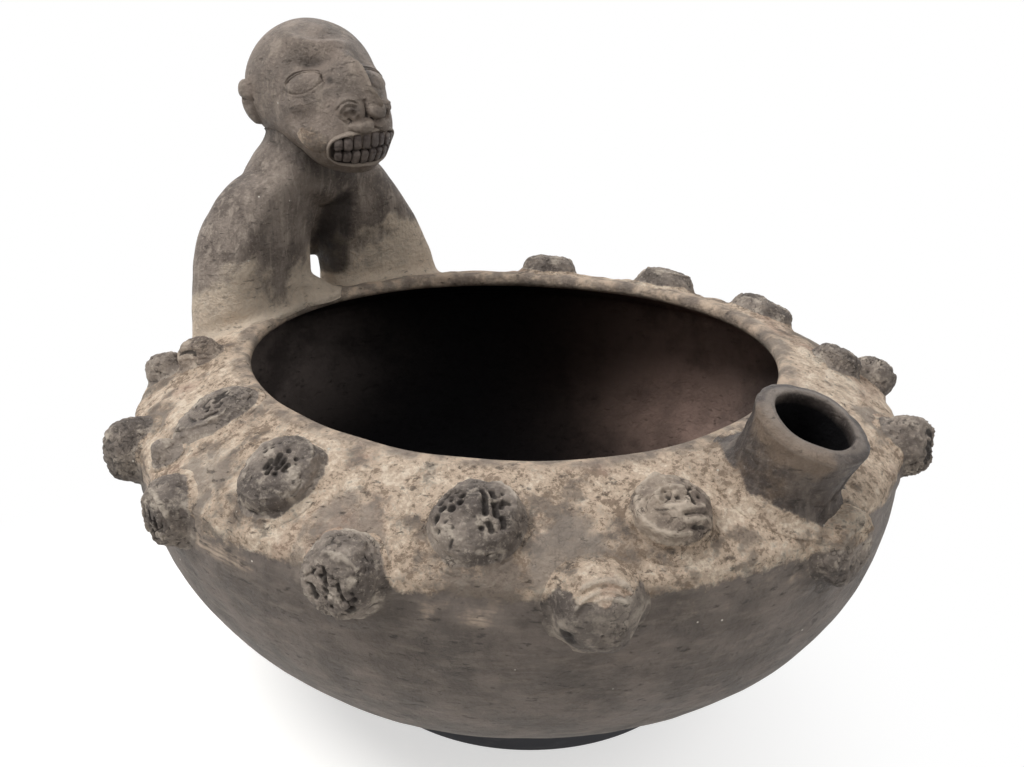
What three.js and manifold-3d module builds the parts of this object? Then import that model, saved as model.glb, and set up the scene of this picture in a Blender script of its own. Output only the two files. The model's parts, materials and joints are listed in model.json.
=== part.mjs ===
// A coil-built terracotta bowl on a loose ring stand: two rows of clay bosses round the shoulder,
// a short leaning spout, and a figure that grips the rim and looks across the bowl at the spout.
// Millimetres, +Z up. The spout is at +X and the figure at -X.
import * as THREE from 'three';
import { mergeVertices } from 'three/addons/utils/BufferGeometryUtils.js';
import Module from 'manifold-3d';

const wasm = await Module();
wasm.setup();

const rad = THREE.MathUtils.degToRad;
const { sin, cos, PI } = Math;

// Bowl
const bowlLength = 370; // over the belly, along X
const bowlWidth = 350; // over the belly, along Y
const bellyTurn = rad(5); // the belly's long way, from +X
const bowlHeight = 157; // underside to rim
const shoulderDrop = 25; // rim down to the widest level
const wallThickness = 7;
const bellyFullness = 2.42; // superellipse power below the widest level
const shoulderFullness = 1.25; // and above it
const mouthRadius = 123.5; // inner edge of the rim, mean
const mouthOval = 5; // long way longer by this
const mouthOvalTurn = rad(15);
const mouthEgg = 2.3; // three-sided part of the mouth's outline
const mouthEggTurn = rad(71);
const lipWidth = 6.5; // level top of the rim
const footSetOver = { x: 9.6, y: 4.5 }; // hand coiling left the underside's middle off the mouth's

// Ring stand
const standRadius = 90; // outside, at the floor
const standTaper = 3; // the top is narrower by this
const standHeight = 18;
const standThickness = 12;
const seatGap = 0.3; // clearance between pieces that rest on or are luted to each other

// Spout
const spoutAzimuth = rad(-6.7);
const spoutSetOut = 2; // its seat, out from the middle of the shoulder
const spoutStand = 30.5; // seat to opening, along the spout
const spoutLean = rad(23);
const spoutLeanAzimuth = rad(4);
const spoutBore = 33;
const spoutLip = 4.5; // wall at the opening
const spoutCollarRadius = 24.5;
const spoutCollarDrop = 6; // opening down to the collar's widest
const spoutTubeRadius = 21.5;
const spoutTubeDrop = 17; // opening down to the straight tube

// Figure: heights from the rim, turns from the figure's own middle plane
const figureAzimuth = rad(177.5);
const headOverhang = 22.5; // middle of the head, in from the middle of the shoulder
const headRise = 104;
const headTurn = rad(-10); // the face looks past the figure's middle plane, at the spout
// The head's three rounded masses: middle from the head's own middle, forward and up, and half sizes
const skull = { forward: -13.5, up: 6, length: 35.5, width: 34.5, height: 33.5 };
const face = { forward: 8.5, up: -1, length: 30, width: 31, height: 29 };
const muzzle = { forward: 21.5, up: -12, length: 22, width: 24, height: 21 };

// Segments
const bowlSegments = 48;
const limbSegments = 14;
const bossSegments = 11;

// Clay colours
const clay = {
  shoulder: 0xa08f79,
  dark: 0x5b5249,
  figure: 0x5f554b,
  boss: 0x6a5f52,
  teeth: 0x4a4139,
};

// Closed solid from rings of points; a pole closes each end, or the rings close on themselves
function ringSolid(rings, startPole, endPole) {
  const points = rings.flat();
  const count = rings[0].length;
  const index = [];
  const bands = startPole ? rings.length - 1 : rings.length;
  for (let band = 0; band < bands; band++) {
    const next = (band + 1) % rings.length;
    for (let i = 0; i < count; i++) {
      const j = (i + 1) % count;
      const [a, b, c, d] = [band * count + i, band * count + j, next * count + j, next * count + i];
      index.push(a, b, c, a, c, d);
    }
  }
  if (startPole) {
    const start = points.push(startPole) - 1;
    const end = points.push(endPole) - 1;
    const last = (rings.length - 1) * count;
    for (let i = 0; i < count; i++) {
      const j = (i + 1) % count;
      index.push(start, j, i, last + i, last + j, end);
    }
  }
  const geometry = new THREE.BufferGeometry().setFromPoints(points);
  geometry.setIndex(index);
  return facesOut(geometry);
}

function facesOut(geometry) {
  const position = geometry.attributes.position;
  const index = geometry.index.array;
  const [a, b, c] = [new THREE.Vector3(), new THREE.Vector3(), new THREE.Vector3()];
  let volume = 0;
  for (let i = 0; i < index.length; i += 3) {
    a.fromBufferAttribute(position, index[i]);
    b.fromBufferAttribute(position, index[i + 1]);
    c.fromBufferAttribute(position, index[i + 2]);
    volume += a.dot(b.cross(c));
  }
  if (volume < 0) {
    for (let i = 0; i < index.length; i += 3) {
      [index[i + 1], index[i + 2]] = [index[i + 2], index[i + 1]];
    }
  }
  return geometry;
}

function toSolid(geometry) {
  const bare = geometry.clone();
  bare.deleteAttribute('normal');
  bare.deleteAttribute('uv');
  const merged = mergeVertices(bare);
  return new wasm.Manifold(new wasm.Mesh({
    numProp: 3,
    vertProperties: new Float32Array(merged.attributes.position.array),
    triVerts: new Uint32Array(merged.index.array),
  }));
}

function toGeometry(solid) {
  const mesh = solid.getMesh();
  const geometry = new THREE.BufferGeometry();
  geometry.setAttribute('position', new THREE.BufferAttribute(mesh.vertProperties, 3));
  geometry.setIndex(new THREE.BufferAttribute(mesh.triVerts, 1));
  return geometry;
}

function around(count) {
  return Array.from({ length: count }, (_, i) => (2 * PI * i) / count);
}

// Bowl's outline. Its underside is at z = 0.
const bellyRadius = (bowlLength + bowlWidth) / 4;
const bellyOval = (bowlLength - bowlWidth) / 4;
const bellyZ = bowlHeight - shoulderDrop;

function mouthEdge(azimuth) {
  const oval = mouthOval * cos(2 * (azimuth - mouthOvalTurn));
  return mouthRadius + oval + mouthEgg * cos(3 * (azimuth - mouthEggTurn));
}

// Radius and height at a stage from -1, the underside's middle, through 0, the widest, to 1, the rim.
// The oval fades towards the underside, so that it sits evenly on a round ring.
function outline(azimuth, stage) {
  const angle = (Math.abs(stage) * PI) / 2;
  const oval = bellyOval * cos(2 * (azimuth - bellyTurn));
  if (stage < 0) {
    const share = cos(angle) ** (2 / bellyFullness);
    const height = sin(angle) ** (2 / bellyFullness);
    return [bellyRadius * share + oval * share ** 3, bellyZ * (1 - height)];
  }
  const share = cos(angle) ** (2 / shoulderFullness);
  const rim = mouthEdge(azimuth) + lipWidth;
  const radius = rim * (1 - share) + (bellyRadius + oval) * share;
  return [radius, bellyZ + shoulderDrop * sin(angle) ** (2 / shoulderFullness)];
}

// The same, moved out along its own normal, or in where the offset is negative
function offsetOutline(azimuth, stage, offset) {
  const step = 0.01;
  const [r0, z0] = outline(azimuth, Math.max(stage - step, -1));
  const [r1, z1] = outline(azimuth, Math.min(stage + step, 1));
  const [r, z] = outline(azimuth, stage);
  const length = Math.hypot(r1 - r0, z1 - z0);
  return [r + (offset * (z1 - z0)) / length, z - (offset * (r1 - r0)) / length];
}

function polar(azimuth, radius, z) {
  return new THREE.Vector3(radius * cos(azimuth), radius * sin(azimuth), z);
}

// The bowl's middle at a height: it leans over to the underside's middle below the widest level
function middleAt(z) {
  const share = Math.max(1 - z / bellyZ, 0) ** 3;
  return new THREE.Vector3(footSetOver.x * share, footSetOver.y * share, 0);
}

// A point of the bowl's skin, moved out along its normal
function skinPoint(azimuth, stage, offset = 0) {
  const [radius, z] = offsetOutline(azimuth, stage, offset);
  return polar(azimuth, radius, z).add(middleAt(z));
}

const bellyStages = [-0.93, -0.82, -0.7, -0.58, -0.46, -0.34, -0.23, -0.12];
const shoulderStages = [0, 0.14, 0.3, 0.5, 0.72, 1];

function bowlRing(stage, offset) {
  return around(bowlSegments).map((azimuth) => skinPoint(azimuth, stage, offset));
}

function lipRing(angle) {
  const nose = wallThickness / 2;
  return around(bowlSegments).map((azimuth) => {
    const radius = mouthEdge(azimuth) + nose - nose * sin(angle);
    return polar(azimuth, radius, bowlHeight - nose + nose * cos(angle));
  });
}

function bowlShell() {
  const outside = [...bellyStages, ...shoulderStages].map((stage) => bowlRing(stage, 0));
  const lip = [0, 45, 90, 135].map((angle) => lipRing(rad(angle)));
  const inside = [...shoulderStages].reverse().concat([...bellyStages].reverse());
  const rings = [...outside, ...lip, ...inside.map((stage) => bowlRing(stage, -wallThickness))];
  const inner = middleAt(wallThickness).setZ(wallThickness);
  return ringSolid(rings, middleAt(0), inner);
}

// The bowl's outside as a filled block, grown by the clearance: what stands on the bowl is cut by it
function bowlBlock(grow) {
  const rings = [...bellyStages, ...shoulderStages].map((stage) => bowlRing(stage, grow));
  const top = new THREE.Vector3(0, 0, bowlHeight + grow);
  return toSolid(ringSolid(rings, middleAt(0).setZ(-grow), top));
}
const grownBowl = bowlBlock(seatGap);

// Radius of the middle of the shoulder, between the rim and the widest level
function shoulderMiddle(azimuth) {
  return (outline(azimuth, 0)[0] + outline(azimuth, 1)[0]) / 2;
}

// Height of the shoulder at a radius
function shoulderRise(azimuth, radius) {
  const [rim, belly] = [outline(azimuth, 1)[0], outline(azimuth, 0)[0]];
  const share = Math.min(Math.max((radius - rim) / (belly - rim), 0), 1);
  const angle = Math.acos(share ** (shoulderFullness / 2));
  return bellyZ + shoulderDrop * sin(angle) ** (2 / shoulderFullness);
}

// Height of the underside at a radius, by bisection
function undersideRise(radius) {
  let [low, high] = [-1, 0];
  for (let i = 0; i < 40; i++) {
    const middle = (low + high) / 2;
    if (bellyRadius * cos((-middle * PI) / 2) ** (2 / bellyFullness) < radius) {
      low = middle;
    } else {
      high = middle;
    }
  }
  return outline(bellyTurn + PI / 4, low)[1];
}

// Spout, about its own axis: z = 0 is the opening and the bore runs down
const spoutLength = spoutStand + shoulderDrop;
const boreRadius = spoutBore / 2;
const spoutSeatRadius = shoulderMiddle(spoutAzimuth) + spoutSetOut;
const spoutSeat = polar(spoutAzimuth, spoutSeatRadius, shoulderRise(spoutAzimuth, spoutSeatRadius));

function alongSpout(geometry) {
  geometry.rotateX(PI / 2);
  geometry.translate(0, 0, spoutStand);
  geometry.rotateY(spoutLean);
  geometry.rotateZ(spoutLeanAzimuth);
  geometry.translate(...spoutSeat.toArray());
  return geometry;
}

function spoutSolid() {
  const outer = [
    [boreRadius, -spoutLength],
    [spoutTubeRadius, -spoutLength],
    [spoutTubeRadius, -spoutTubeDrop],
    [(spoutTubeRadius + spoutCollarRadius) / 2, -(spoutTubeDrop + spoutCollarDrop) / 2],
    [spoutCollarRadius, -spoutCollarDrop],
    [boreRadius + spoutLip, -spoutLip / 2],
    [boreRadius + spoutLip / 2, 0],
    [boreRadius, -spoutLip / 4],
    [boreRadius, -spoutLength],
  ].map(([radius, height]) => new THREE.Vector2(radius, height));
  return toSolid(alongSpout(new THREE.LatheGeometry(outer, 24)));
}

// Hole through the bowl's wall, in line with the spout's bore
function spoutHole() {
  const hole = new THREE.CylinderGeometry(boreRadius, boreRadius, spoutLength + wallThickness, 24);
  hole.translate(0, -(spoutLength + wallThickness) / 2, 0);
  return toSolid(alongSpout(hole));
}

// Bosses: degrees round from +X, height below the rim, width, how far it stands out, and how much
// longer it is up the bowl than round it
const bosses = [
  { name: 'boss_01', azimuth: -4, down: 34, width: 33, out: 10, stretch: 0.95 },
  { name: 'boss_02', azimuth: -27, down: 11, width: 33, out: 12, stretch: 1 },
  { name: 'boss_03', azimuth: -38.5, down: 33, width: 33, out: 13, stretch: 1 },
  { name: 'boss_04', azimuth: -53, down: 11, width: 35, out: 14, stretch: 1 },
  { name: 'boss_05', azimuth: -69, down: 28, width: 31, out: 13, stretch: 1.05 },
  { name: 'boss_06', azimuth: -85, down: 10, width: 33, out: 12, stretch: 1.15 },
  { name: 'boss_07', azimuth: -101, down: 32, width: 29, out: 12, stretch: 1 },
  { name: 'boss_08', azimuth: -111.5, down: 6, width: 27, out: 6, stretch: 1.4 },
  { name: 'boss_09', azimuth: -110, down: 18, width: 11, out: 7, stretch: 1 },
  { name: 'boss_10', azimuth: -122, down: 27, width: 27, out: 14, stretch: 1 },
  { name: 'boss_11', azimuth: -138.5, down: 6, width: 22, out: 11, stretch: 1 },
  { name: 'boss_12', azimuth: -141, down: 16, width: 20, out: 10, stretch: 1 },
  { name: 'boss_13', azimuth: 139, down: 31, width: 29, out: 13, stretch: 1 },
  { name: 'boss_14', azimuth: 123, down: 5, width: 31, out: 11, stretch: 1 },
  { name: 'boss_15', azimuth: 108, down: 34, width: 30, out: 13, stretch: 1 },
  { name: 'boss_16', azimuth: 94, down: 5, width: 32, out: 11, stretch: 1 },
  { name: 'boss_17', azimuth: 81, down: 33, width: 31, out: 13, stretch: 1 },
  { name: 'boss_18', azimuth: 70.5, down: 9, width: 33, out: 10, stretch: 1 },
  { name: 'boss_19', azimuth: 46, down: 21, width: 24, out: 13, stretch: 1 },
  { name: 'boss_20', azimuth: 42, down: 7.5, width: 24, out: 9, stretch: 1 },
  { name: 'boss_21', azimuth: 24, down: 24, width: 27, out: 14, stretch: 1 },
];

// Stage at which the outline is this far below the rim
function stageAt(down) {
  if (down <= shoulderDrop) {
    return Math.asin((1 - down / shoulderDrop) ** (shoulderFullness / 2)) / (PI / 2);
  }
  return -Math.asin(((down - shoulderDrop) / bellyZ) ** (bellyFullness / 2)) / (PI / 2);
}

function bossSolid({ azimuth, down, width, out, stretch }, grow = 0) {
  const at = rad(azimuth);
  const stage = stageAt(down);
  const step = 0.02;
  const up = skinPoint(at, stage + step).sub(skinPoint(at, stage - step)).normalize();
  const round = new THREE.Vector3(-sin(at), cos(at), 0);
  const normal = new THREE.Vector3().crossVectors(round, up).normalize();
  const dome = new THREE.SphereGeometry(1, bossSegments, 6);
  dome.scale(width / 2 + grow, out + grow, (stretch * width) / 2 + grow);
  const axes = new THREE.Matrix4().makeBasis(round, normal, up.clone().negate());
  return toSolid(dome.applyMatrix4(axes.setPosition(skinPoint(at, stage))));
}

// What is pressed on the bowl, in turn: each is cut by the bowl and by what was laid before it
let laid = grownBowl;

function layOn(solid, grown) {
  const geometry = toGeometry(solid.subtract(laid));
  laid = laid.add(grown);
  return geometry;
}

// Figure. Each limb is a loft of flattened ovals that bend round with the rim.
// Section: height over the rim, turn from the middle plane, distance in from the middle of the
// shoulder, and the oval's half width round the bowl and half depth across it.
const figureReach = shoulderMiddle(figureAzimuth);
const rightArmSections = [
  [-26, 17, 1.5, 43.5, 23],
  [-8, 17.2, 2.5, 42.5, 23],
  [12, 17.2, 3.5, 41, 22.5],
  [30, 16.5, 4.5, 39.5, 22],
  [44, 14.4, 6, 37.5, 21.5],
  [55, 12.6, 8, 33, 20.5],
  [64, 10.5, 10, 27, 18],
  [71, 7.5, 11.5, 17, 13],
];
const leftArmSections = [
  [-26, -16.6, 3.5, 37.3, 19],
  [-8, -16.2, 4.5, 36.3, 18.5],
  [12, -15, 6, 33.3, 18],
  [30, -13.1, 7.5, 30.3, 18],
  [44, -11, 9, 26.3, 18.5],
  [55, -9.4, 10, 22, 18.5],
  [64, -8, 10.5, 18, 16],
  [71, -6.5, 11.5, 12.5, 11],
];
const bustSections = [
  [47, -1.5, 10.5, 12, 10],
  [51, -1, 10, 27, 17],
  [58, 0.5, 9.5, 38, 21.5],
  [66, 1, 9.5, 40, 23],
  [75, 1, 10, 34, 22],
  [84, 0.5, 11.5, 27, 20],
  [96, 0, 14.5, 25, 21],
];

function limbRing([height, turn, inward, halfWidth, halfDepth], grow) {
  const reach = figureReach - inward;
  return around(limbSegments).map((angle) => {
    const azimuth = figureAzimuth + rad(turn) + ((halfWidth + grow) * cos(angle)) / reach;
    return polar(azimuth, reach + (halfDepth + grow) * sin(angle), bowlHeight + height);
  });
}

// The sections with one more between each two, on a smooth curve through them
function smoothed(sections) {
  const near = (i) => sections[Math.min(Math.max(i, 0), sections.length - 1)];
  return Array.from({ length: 2 * sections.length - 1 }, (_, i) => {
    const at = Math.floor(i / 2);
    if (i % 2 === 0) {
      return sections[at];
    }
    const [before, from, to, after] = [-1, 0, 1, 2].map((shift) => near(at + shift));
    return from.map((value, k) => (9 * (value + to[k]) - before[k] - after[k]) / 16);
  });
}

function limb(sections, grow = 0) {
  const rings = smoothed(sections).map((section) => limbRing(section, grow));
  const end = ([height, turn, inward], lift) => (
    polar(figureAzimuth + rad(turn), figureReach - inward, bowlHeight + height + lift)
  );
  return ringSolid(rings, end(sections[0], -1 - grow), end(sections[sections.length - 1], 1 + grow));
}

// Head: skull, face and muzzle are ellipsoids that all hold the head's middle, blended into one skin
const forward = polar(figureAzimuth + headTurn, -1, 0);
const leftward = new THREE.Vector3(-forward.y, forward.x, 0);
const headMiddle = polar(figureAzimuth, figureReach - headOverhang, bowlHeight + headRise);

function ellipsoidReach(direction, middle, radii) {
  let [a, b, c] = [0, 0, -1];
  for (const k of [0, 1, 2]) {
    a += (direction[k] / radii[k]) ** 2;
    b -= (2 * direction[k] * middle[k]) / radii[k] ** 2;
    c += (middle[k] / radii[k]) ** 2;
  }
  return (-b + Math.sqrt(Math.max(b * b - 4 * a * c, 0))) / (2 * a);
}

function headPoint(turn, rise, lift = 0) {
  const direction = [cos(rise) * cos(turn), cos(rise) * sin(turn), sin(rise)];
  const blend = 12;
  const sum = [skull, face, muzzle].reduce((total, mass) => {
    const radii = [mass.length, mass.width, mass.height];
    const reach = ellipsoidReach(direction, [mass.forward, 0, mass.up], radii);
    return total + Math.max(reach, 1) ** blend;
  }, 0);
  const reach = sum ** (1 / blend) + lift;
  return headMiddle.clone()
    .addScaledVector(forward, reach * direction[0])
    .addScaledVector(leftward, reach * direction[1])
    .add(new THREE.Vector3(0, 0, reach * direction[2]));
}

function headSolid(grow = 0) {
  const rises = [-72, -54, -38, -24, -11, 2, 15, 30, 46, 62, 77].map(rad);
  const rings = rises.map((rise) => around(26).map((turn) => headPoint(turn, rise, grow)));
  return ringSolid(rings, headPoint(0, rad(-90), grow), headPoint(0, rad(90), grow));
}

// What is pressed on the head starts this far under its skin, and is then cut by the grown head
const sunk = -3;
const grownHead = toSolid(headSolid(seatGap));

function onHead(...geometries) {
  const [first, ...others] = geometries.map(toSolid);
  return toGeometry(others.reduce((solid, piece) => solid.add(piece), first).subtract(grownHead));
}

// A pellet: an oval patch whose height is a function of how far out it is
function pellet({ turn, rise, halfTurn, halfRise, tilt = 0 }, heightAt) {
  const place = (share, lift) => (angle) => {
    const [u, v] = [share * halfTurn * cos(angle), share * halfRise * sin(angle)];
    const du = u * cos(rad(tilt)) - v * sin(rad(tilt));
    const dv = u * sin(rad(tilt)) + v * cos(rad(tilt));
    return headPoint(rad(turn + du), rad(rise + dv), lift);
  };
  const angles = around(14);
  const top = [0.35, 0.7, 1].map((share) => angles.map(place(share, seatGap + heightAt(share))));
  const base = [1, 0.5].map((share) => angles.map(place(share, sunk)));
  return ringSolid([...top, ...base], place(0, seatGap + heightAt(0))(0), place(0, sunk)(0));
}

const dome = (height) => (share) => 0.6 + height * Math.sqrt(1 - share ** 2);

const eyeTurn = { right: -44, left: 35 };
const eyeRise = 22;
const eyeTilt = 14;
const eyeSpan = { halfTurn: 17, halfRise: 11 };
const eyeHeight = 2;
const earTurn = 111;
const earRise = 2;
const earHeight = 6;
const earSpan = { halfTurn: 10, halfRise: 16 };
const noseTurn = 7;
const noseHeight = 4.5;
const noseTipHeight = 7;
const mouthTurn = 7;
const mouthRise = -27;
const mouthHalfTurn = 32;
const mouthHalfRise = 11;
const lipRoll = 4; // degrees of the lip's half width
const lipHeight = 3;
const teethPerRow = 8;
const teethHeight = 2;

function noseSolid() {
  const ridge = { turn: noseTurn / 2, rise: 26, halfTurn: 4, halfRise: 24, tilt: noseTurn };
  const tip = { turn: noseTurn, rise: 0, halfTurn: 11, halfRise: 7 };
  const wings = [-16, 16].map((turn) => ({ turn: noseTurn + turn, rise: -1, halfTurn: 8, halfRise: 7.5 }));
  const pieces = [ridge, ...wings].map((patch) => pellet(patch, dome(noseHeight)));
  return onHead(pellet(tip, dome(noseTipHeight)), ...pieces);
}

function lipsSolid() {
  const section = [[-1, 0], [-0.8, 0.75], [0, 1], [0.8, 0.75], [1, 0]];
  const rings = section.map(([across, up]) => around(26).map((angle) => {
    const turn = mouthTurn + (mouthHalfTurn + lipRoll * across) * cos(angle);
    const rise = mouthRise + (mouthHalfRise + lipRoll * across * 0.8) * sin(angle);
    return headPoint(rad(turn), rad(rise), seatGap + lipHeight * up);
  }));
  const under = around(26).map((angle) => {
    const rise = mouthRise + mouthHalfRise * sin(angle);
    return headPoint(rad(mouthTurn + mouthHalfTurn * cos(angle)), rad(rise), sunk);
  });
  return onHead(ringSolid([...rings, under]));
}

// One row of teeth, as a ribbon that rises over each tooth and dips between them
function teethRow(side) {
  const inner = mouthHalfTurn - lipRoll - 2.5;
  const columns = 3 * teethPerRow;
  const rings = Array.from({ length: columns + 1 }, (_, i) => {
    const share = -1 + (2 * i) / columns;
    const gum = (mouthHalfRise - lipRoll) * Math.sqrt(1 - 0.92 * share ** 2) - 1;
    const groove = i % 3 === 0 ? 0.5 : 1;
    const turn = rad(mouthTurn + share * inner);
    const place = (rise, lift) => headPoint(turn, rad(mouthRise + side * rise), seatGap + lift);
    const top = teethHeight * groove;
    const heights = [[0.7, sunk], [0.7, top * 0.8], [gum * 0.5, top], [gum, top * 0.7], [gum, sunk]];
    return heights.map(([height, lift]) => place(height, lift));
  });
  const middle = (ring) => ring.reduce((sum, p) => sum.add(p), new THREE.Vector3()).divideScalar(ring.length);
  return onHead(ringSolid(rings, middle(rings[0]), middle(rings[columns])));
}

// Stand: a turned ring under the underside's middle, its top bevelled to the underside
const seatRadius = standRadius - standTaper;
const bowlLift = standHeight + seatGap - undersideRise(seatRadius);

function standSolid() {
  const inside = standRadius - standThickness;
  const seatAt = (radius) => bowlLift + undersideRise(radius) - seatGap;
  const middle = (inside + seatRadius) / 2;
  const profile = [
    [inside, 0],
    [standRadius, 0],
    [seatRadius, seatAt(seatRadius)],
    [middle, seatAt(middle)],
    [inside, seatAt(inside)],
    [inside, 0],
  ].map(([radius, height]) => new THREE.Vector2(radius, height));
  const ring = new THREE.LatheGeometry(profile, bowlSegments).rotateX(PI / 2);
  return ring.translate(...middleAt(undersideRise(seatRadius)).toArray());
}

// Assembly
const bowl = new THREE.Group();
const vessel = new THREE.Group();
vessel.position.z = bowlLift;
bowl.add(vessel);

function place(parent, name, geometry, color, roughness = 0.85) {
  const material = new THREE.MeshStandardMaterial({ color, roughness, metalness: 0 });
  const mesh = new THREE.Mesh(geometry, material);
  mesh.name = name;
  parent.add(mesh);
}

place(bowl, 'stand_ring', standSolid(), 0x3a3c42, 0.55);
place(vessel, 'bowl_body', toGeometry(toSolid(bowlShell()).subtract(spoutHole())), clay.shoulder);

const bust = toSolid(limb(bustSections)).subtract(grownHead);
const grownBust = toSolid(limb(bustSections, seatGap));
place(vessel, 'bust', toGeometry(bust), clay.figure);
for (const [name, sections] of [['right_arm', rightArmSections], ['left_arm', leftArmSections]]) {
  const arm = toSolid(limb(sections)).subtract(grownBust).subtract(grownBowl);
  place(vessel, name, toGeometry(arm), clay.figure);
}
place(vessel, 'head', headSolid(), clay.figure);
for (const [side, sign] of [['right', -1], ['left', 1]]) {
  const eye = { turn: eyeTurn[side], rise: eyeRise, tilt: -sign * eyeTilt, ...eyeSpan };
  const ear = { turn: sign * earTurn, rise: earRise, ...earSpan };
  place(vessel, `${side}_eye`, onHead(pellet(eye, dome(eyeHeight))), clay.figure);
  place(vessel, `${side}_ear`, onHead(pellet(ear, dome(earHeight))), clay.figure);
}
place(vessel, 'nose', noseSolid(), clay.figure);
place(vessel, 'lips', lipsSolid(), clay.figure);
place(vessel, 'upper_teeth', teethRow(1), clay.teeth);
place(vessel, 'lower_teeth', teethRow(-1), clay.teeth);
for (const boss of bosses) {
  place(vessel, boss.name, layOn(bossSolid(boss), bossSolid(boss, seatGap)), clay.boss);
}
place(vessel, 'spout', toGeometry(spoutSolid().subtract(laid)), clay.dark);

// The origin goes to the floor under the middle of the whole object's box
bowl.updateMatrixWorld(true);
const middle = new THREE.Box3().setFromObject(bowl).getCenter(new THREE.Vector3());
bowl.position.set(-middle.x, -middle.y, 0);

export default bowl;
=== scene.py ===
import json
import math

import bpy
import numpy as np
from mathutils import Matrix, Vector, noise

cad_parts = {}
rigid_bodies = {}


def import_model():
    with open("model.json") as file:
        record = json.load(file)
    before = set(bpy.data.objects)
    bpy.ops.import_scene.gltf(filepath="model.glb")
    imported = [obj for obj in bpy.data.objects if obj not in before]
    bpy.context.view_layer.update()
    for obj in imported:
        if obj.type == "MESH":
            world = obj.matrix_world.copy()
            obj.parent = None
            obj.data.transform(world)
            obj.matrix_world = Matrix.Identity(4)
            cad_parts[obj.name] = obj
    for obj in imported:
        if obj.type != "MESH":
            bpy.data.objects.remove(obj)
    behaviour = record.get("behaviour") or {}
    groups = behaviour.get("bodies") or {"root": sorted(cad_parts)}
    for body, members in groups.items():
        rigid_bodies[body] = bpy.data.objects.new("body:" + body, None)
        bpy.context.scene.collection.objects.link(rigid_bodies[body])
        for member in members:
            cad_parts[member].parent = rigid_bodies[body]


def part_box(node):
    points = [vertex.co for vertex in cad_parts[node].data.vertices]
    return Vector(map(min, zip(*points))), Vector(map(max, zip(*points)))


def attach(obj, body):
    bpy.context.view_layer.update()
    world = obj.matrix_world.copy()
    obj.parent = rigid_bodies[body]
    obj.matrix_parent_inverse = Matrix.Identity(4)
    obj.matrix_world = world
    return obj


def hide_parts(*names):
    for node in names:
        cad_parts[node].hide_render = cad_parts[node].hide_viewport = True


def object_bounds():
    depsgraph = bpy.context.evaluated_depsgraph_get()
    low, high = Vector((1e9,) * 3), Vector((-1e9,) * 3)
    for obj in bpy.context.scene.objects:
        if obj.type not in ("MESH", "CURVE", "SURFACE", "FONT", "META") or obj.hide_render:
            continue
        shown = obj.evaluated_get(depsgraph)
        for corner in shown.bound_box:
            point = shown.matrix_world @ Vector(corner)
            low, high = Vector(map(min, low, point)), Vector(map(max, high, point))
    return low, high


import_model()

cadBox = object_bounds()
millimetre = 0.001
mergeDistance = 1e-6
halvings = 18
farAway = 99

# The underside's middle lies off the mouth's, and the ring is under the underside: both in millimetres
footSetOver = np.array([9.6, 4.5])
ringSetOver = np.array([7.6, 3.56])
ringLow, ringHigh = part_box("stand_ring")
ringMiddle = np.array([ringLow.x + ringHigh.x, ringLow.y + ringHigh.y]) / 2
bowlFoot = np.array([*(ringMiddle - ringSetOver * millimetre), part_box("bowl_body")[0].z])


# Points in the bowl's own millimetres, from the middle of its underside, to the scene's metres
def toScene(points):
    return points * millimetre + bowlFoot


def clearSelection():
    for thing in bpy.data.objects:
        thing.select_set(False)


def startPiece(name):
    piece = bpy.context.object
    piece.name = name
    piece.data.name = name
    return piece


def readPoints(piece):
    flat = np.empty(len(piece.data.vertices) * 3)
    piece.data.vertices.foreach_get("co", flat)
    return flat.reshape(-1, 3)


def writePoints(piece, points):
    piece.data.vertices.foreach_set("co", np.asarray(points, float).ravel())
    piece.data.update()


# Each layer is a value at every point, which the materials read by its name
def paint(piece, **layers):
    for name, values in layers.items():
        layer = piece.data.attributes.new(name, "FLOAT", "POINT")
        layer.data.foreach_set("value", np.asarray(values, np.float32))


def onlySelect(piece):
    clearSelection()
    piece.select_set(True)
    bpy.context.view_layer.objects.active = piece


# Doubles merged and faces turned out
def cleanMesh(piece):
    onlySelect(piece)
    bpy.ops.object.mode_set(mode="EDIT")
    bpy.ops.mesh.select_all(action="SELECT")
    bpy.ops.mesh.remove_doubles(threshold=mergeDistance)
    bpy.ops.mesh.normals_make_consistent(inside=False)
    bpy.ops.object.mode_set(mode="OBJECT")


def closePiece(piece):
    cleanMesh(piece)
    bpy.ops.object.shade_smooth()


# A ball to shape, and each point's angle round it and share of the way from its crown to its foot
def startBall(name, making):
    clearSelection()
    bpy.ops.mesh.primitive_uv_sphere_add(
        segments=making["segments"], ring_count=making["rings"], radius=1)
    piece = startPiece(name)
    x, y, z = readPoints(piece).T
    return piece, np.arctan2(y, x), np.arccos(np.clip(z, -1, 1)) / np.pi


def applyModifier(piece, kind, **settings):
    onlySelect(piece)
    modifier = piece.modifiers.new(kind.title(), kind)
    for key, value in settings.items():
        setattr(modifier, key, value)
    bpy.ops.object.modifier_apply(modifier=modifier.name)


def finishPiece(piece, material, slot, *nodes):
    # nothing stands out of the solids' own box, where a lump of clay might by a hair
    writePoints(piece, np.clip(readPoints(piece), *[np.array(corner) for corner in cadBox]))
    piece.data.materials.clear()
    piece.data.materials.append(material)
    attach(piece, "stand" if "stand_ring" in nodes else "vessel")
    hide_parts(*nodes)


def smoothStep(low, high, value):
    share = np.clip((value - low) / (high - low), 0, 1)
    return share * share * (3 - 2 * share)


# Smooth lumps from -1 to 1 over points in millimetres
def lumps(points, size, seed):
    shift = Vector((seed * 17.31, seed * 9.17, seed * 4.73))
    return np.array([noise.noise(Vector(p) / size + shift) for p in points])


def unit(vectors):
    return vectors / np.maximum(np.linalg.norm(vectors, axis=-1, keepdims=True), 1e-9)


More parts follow.
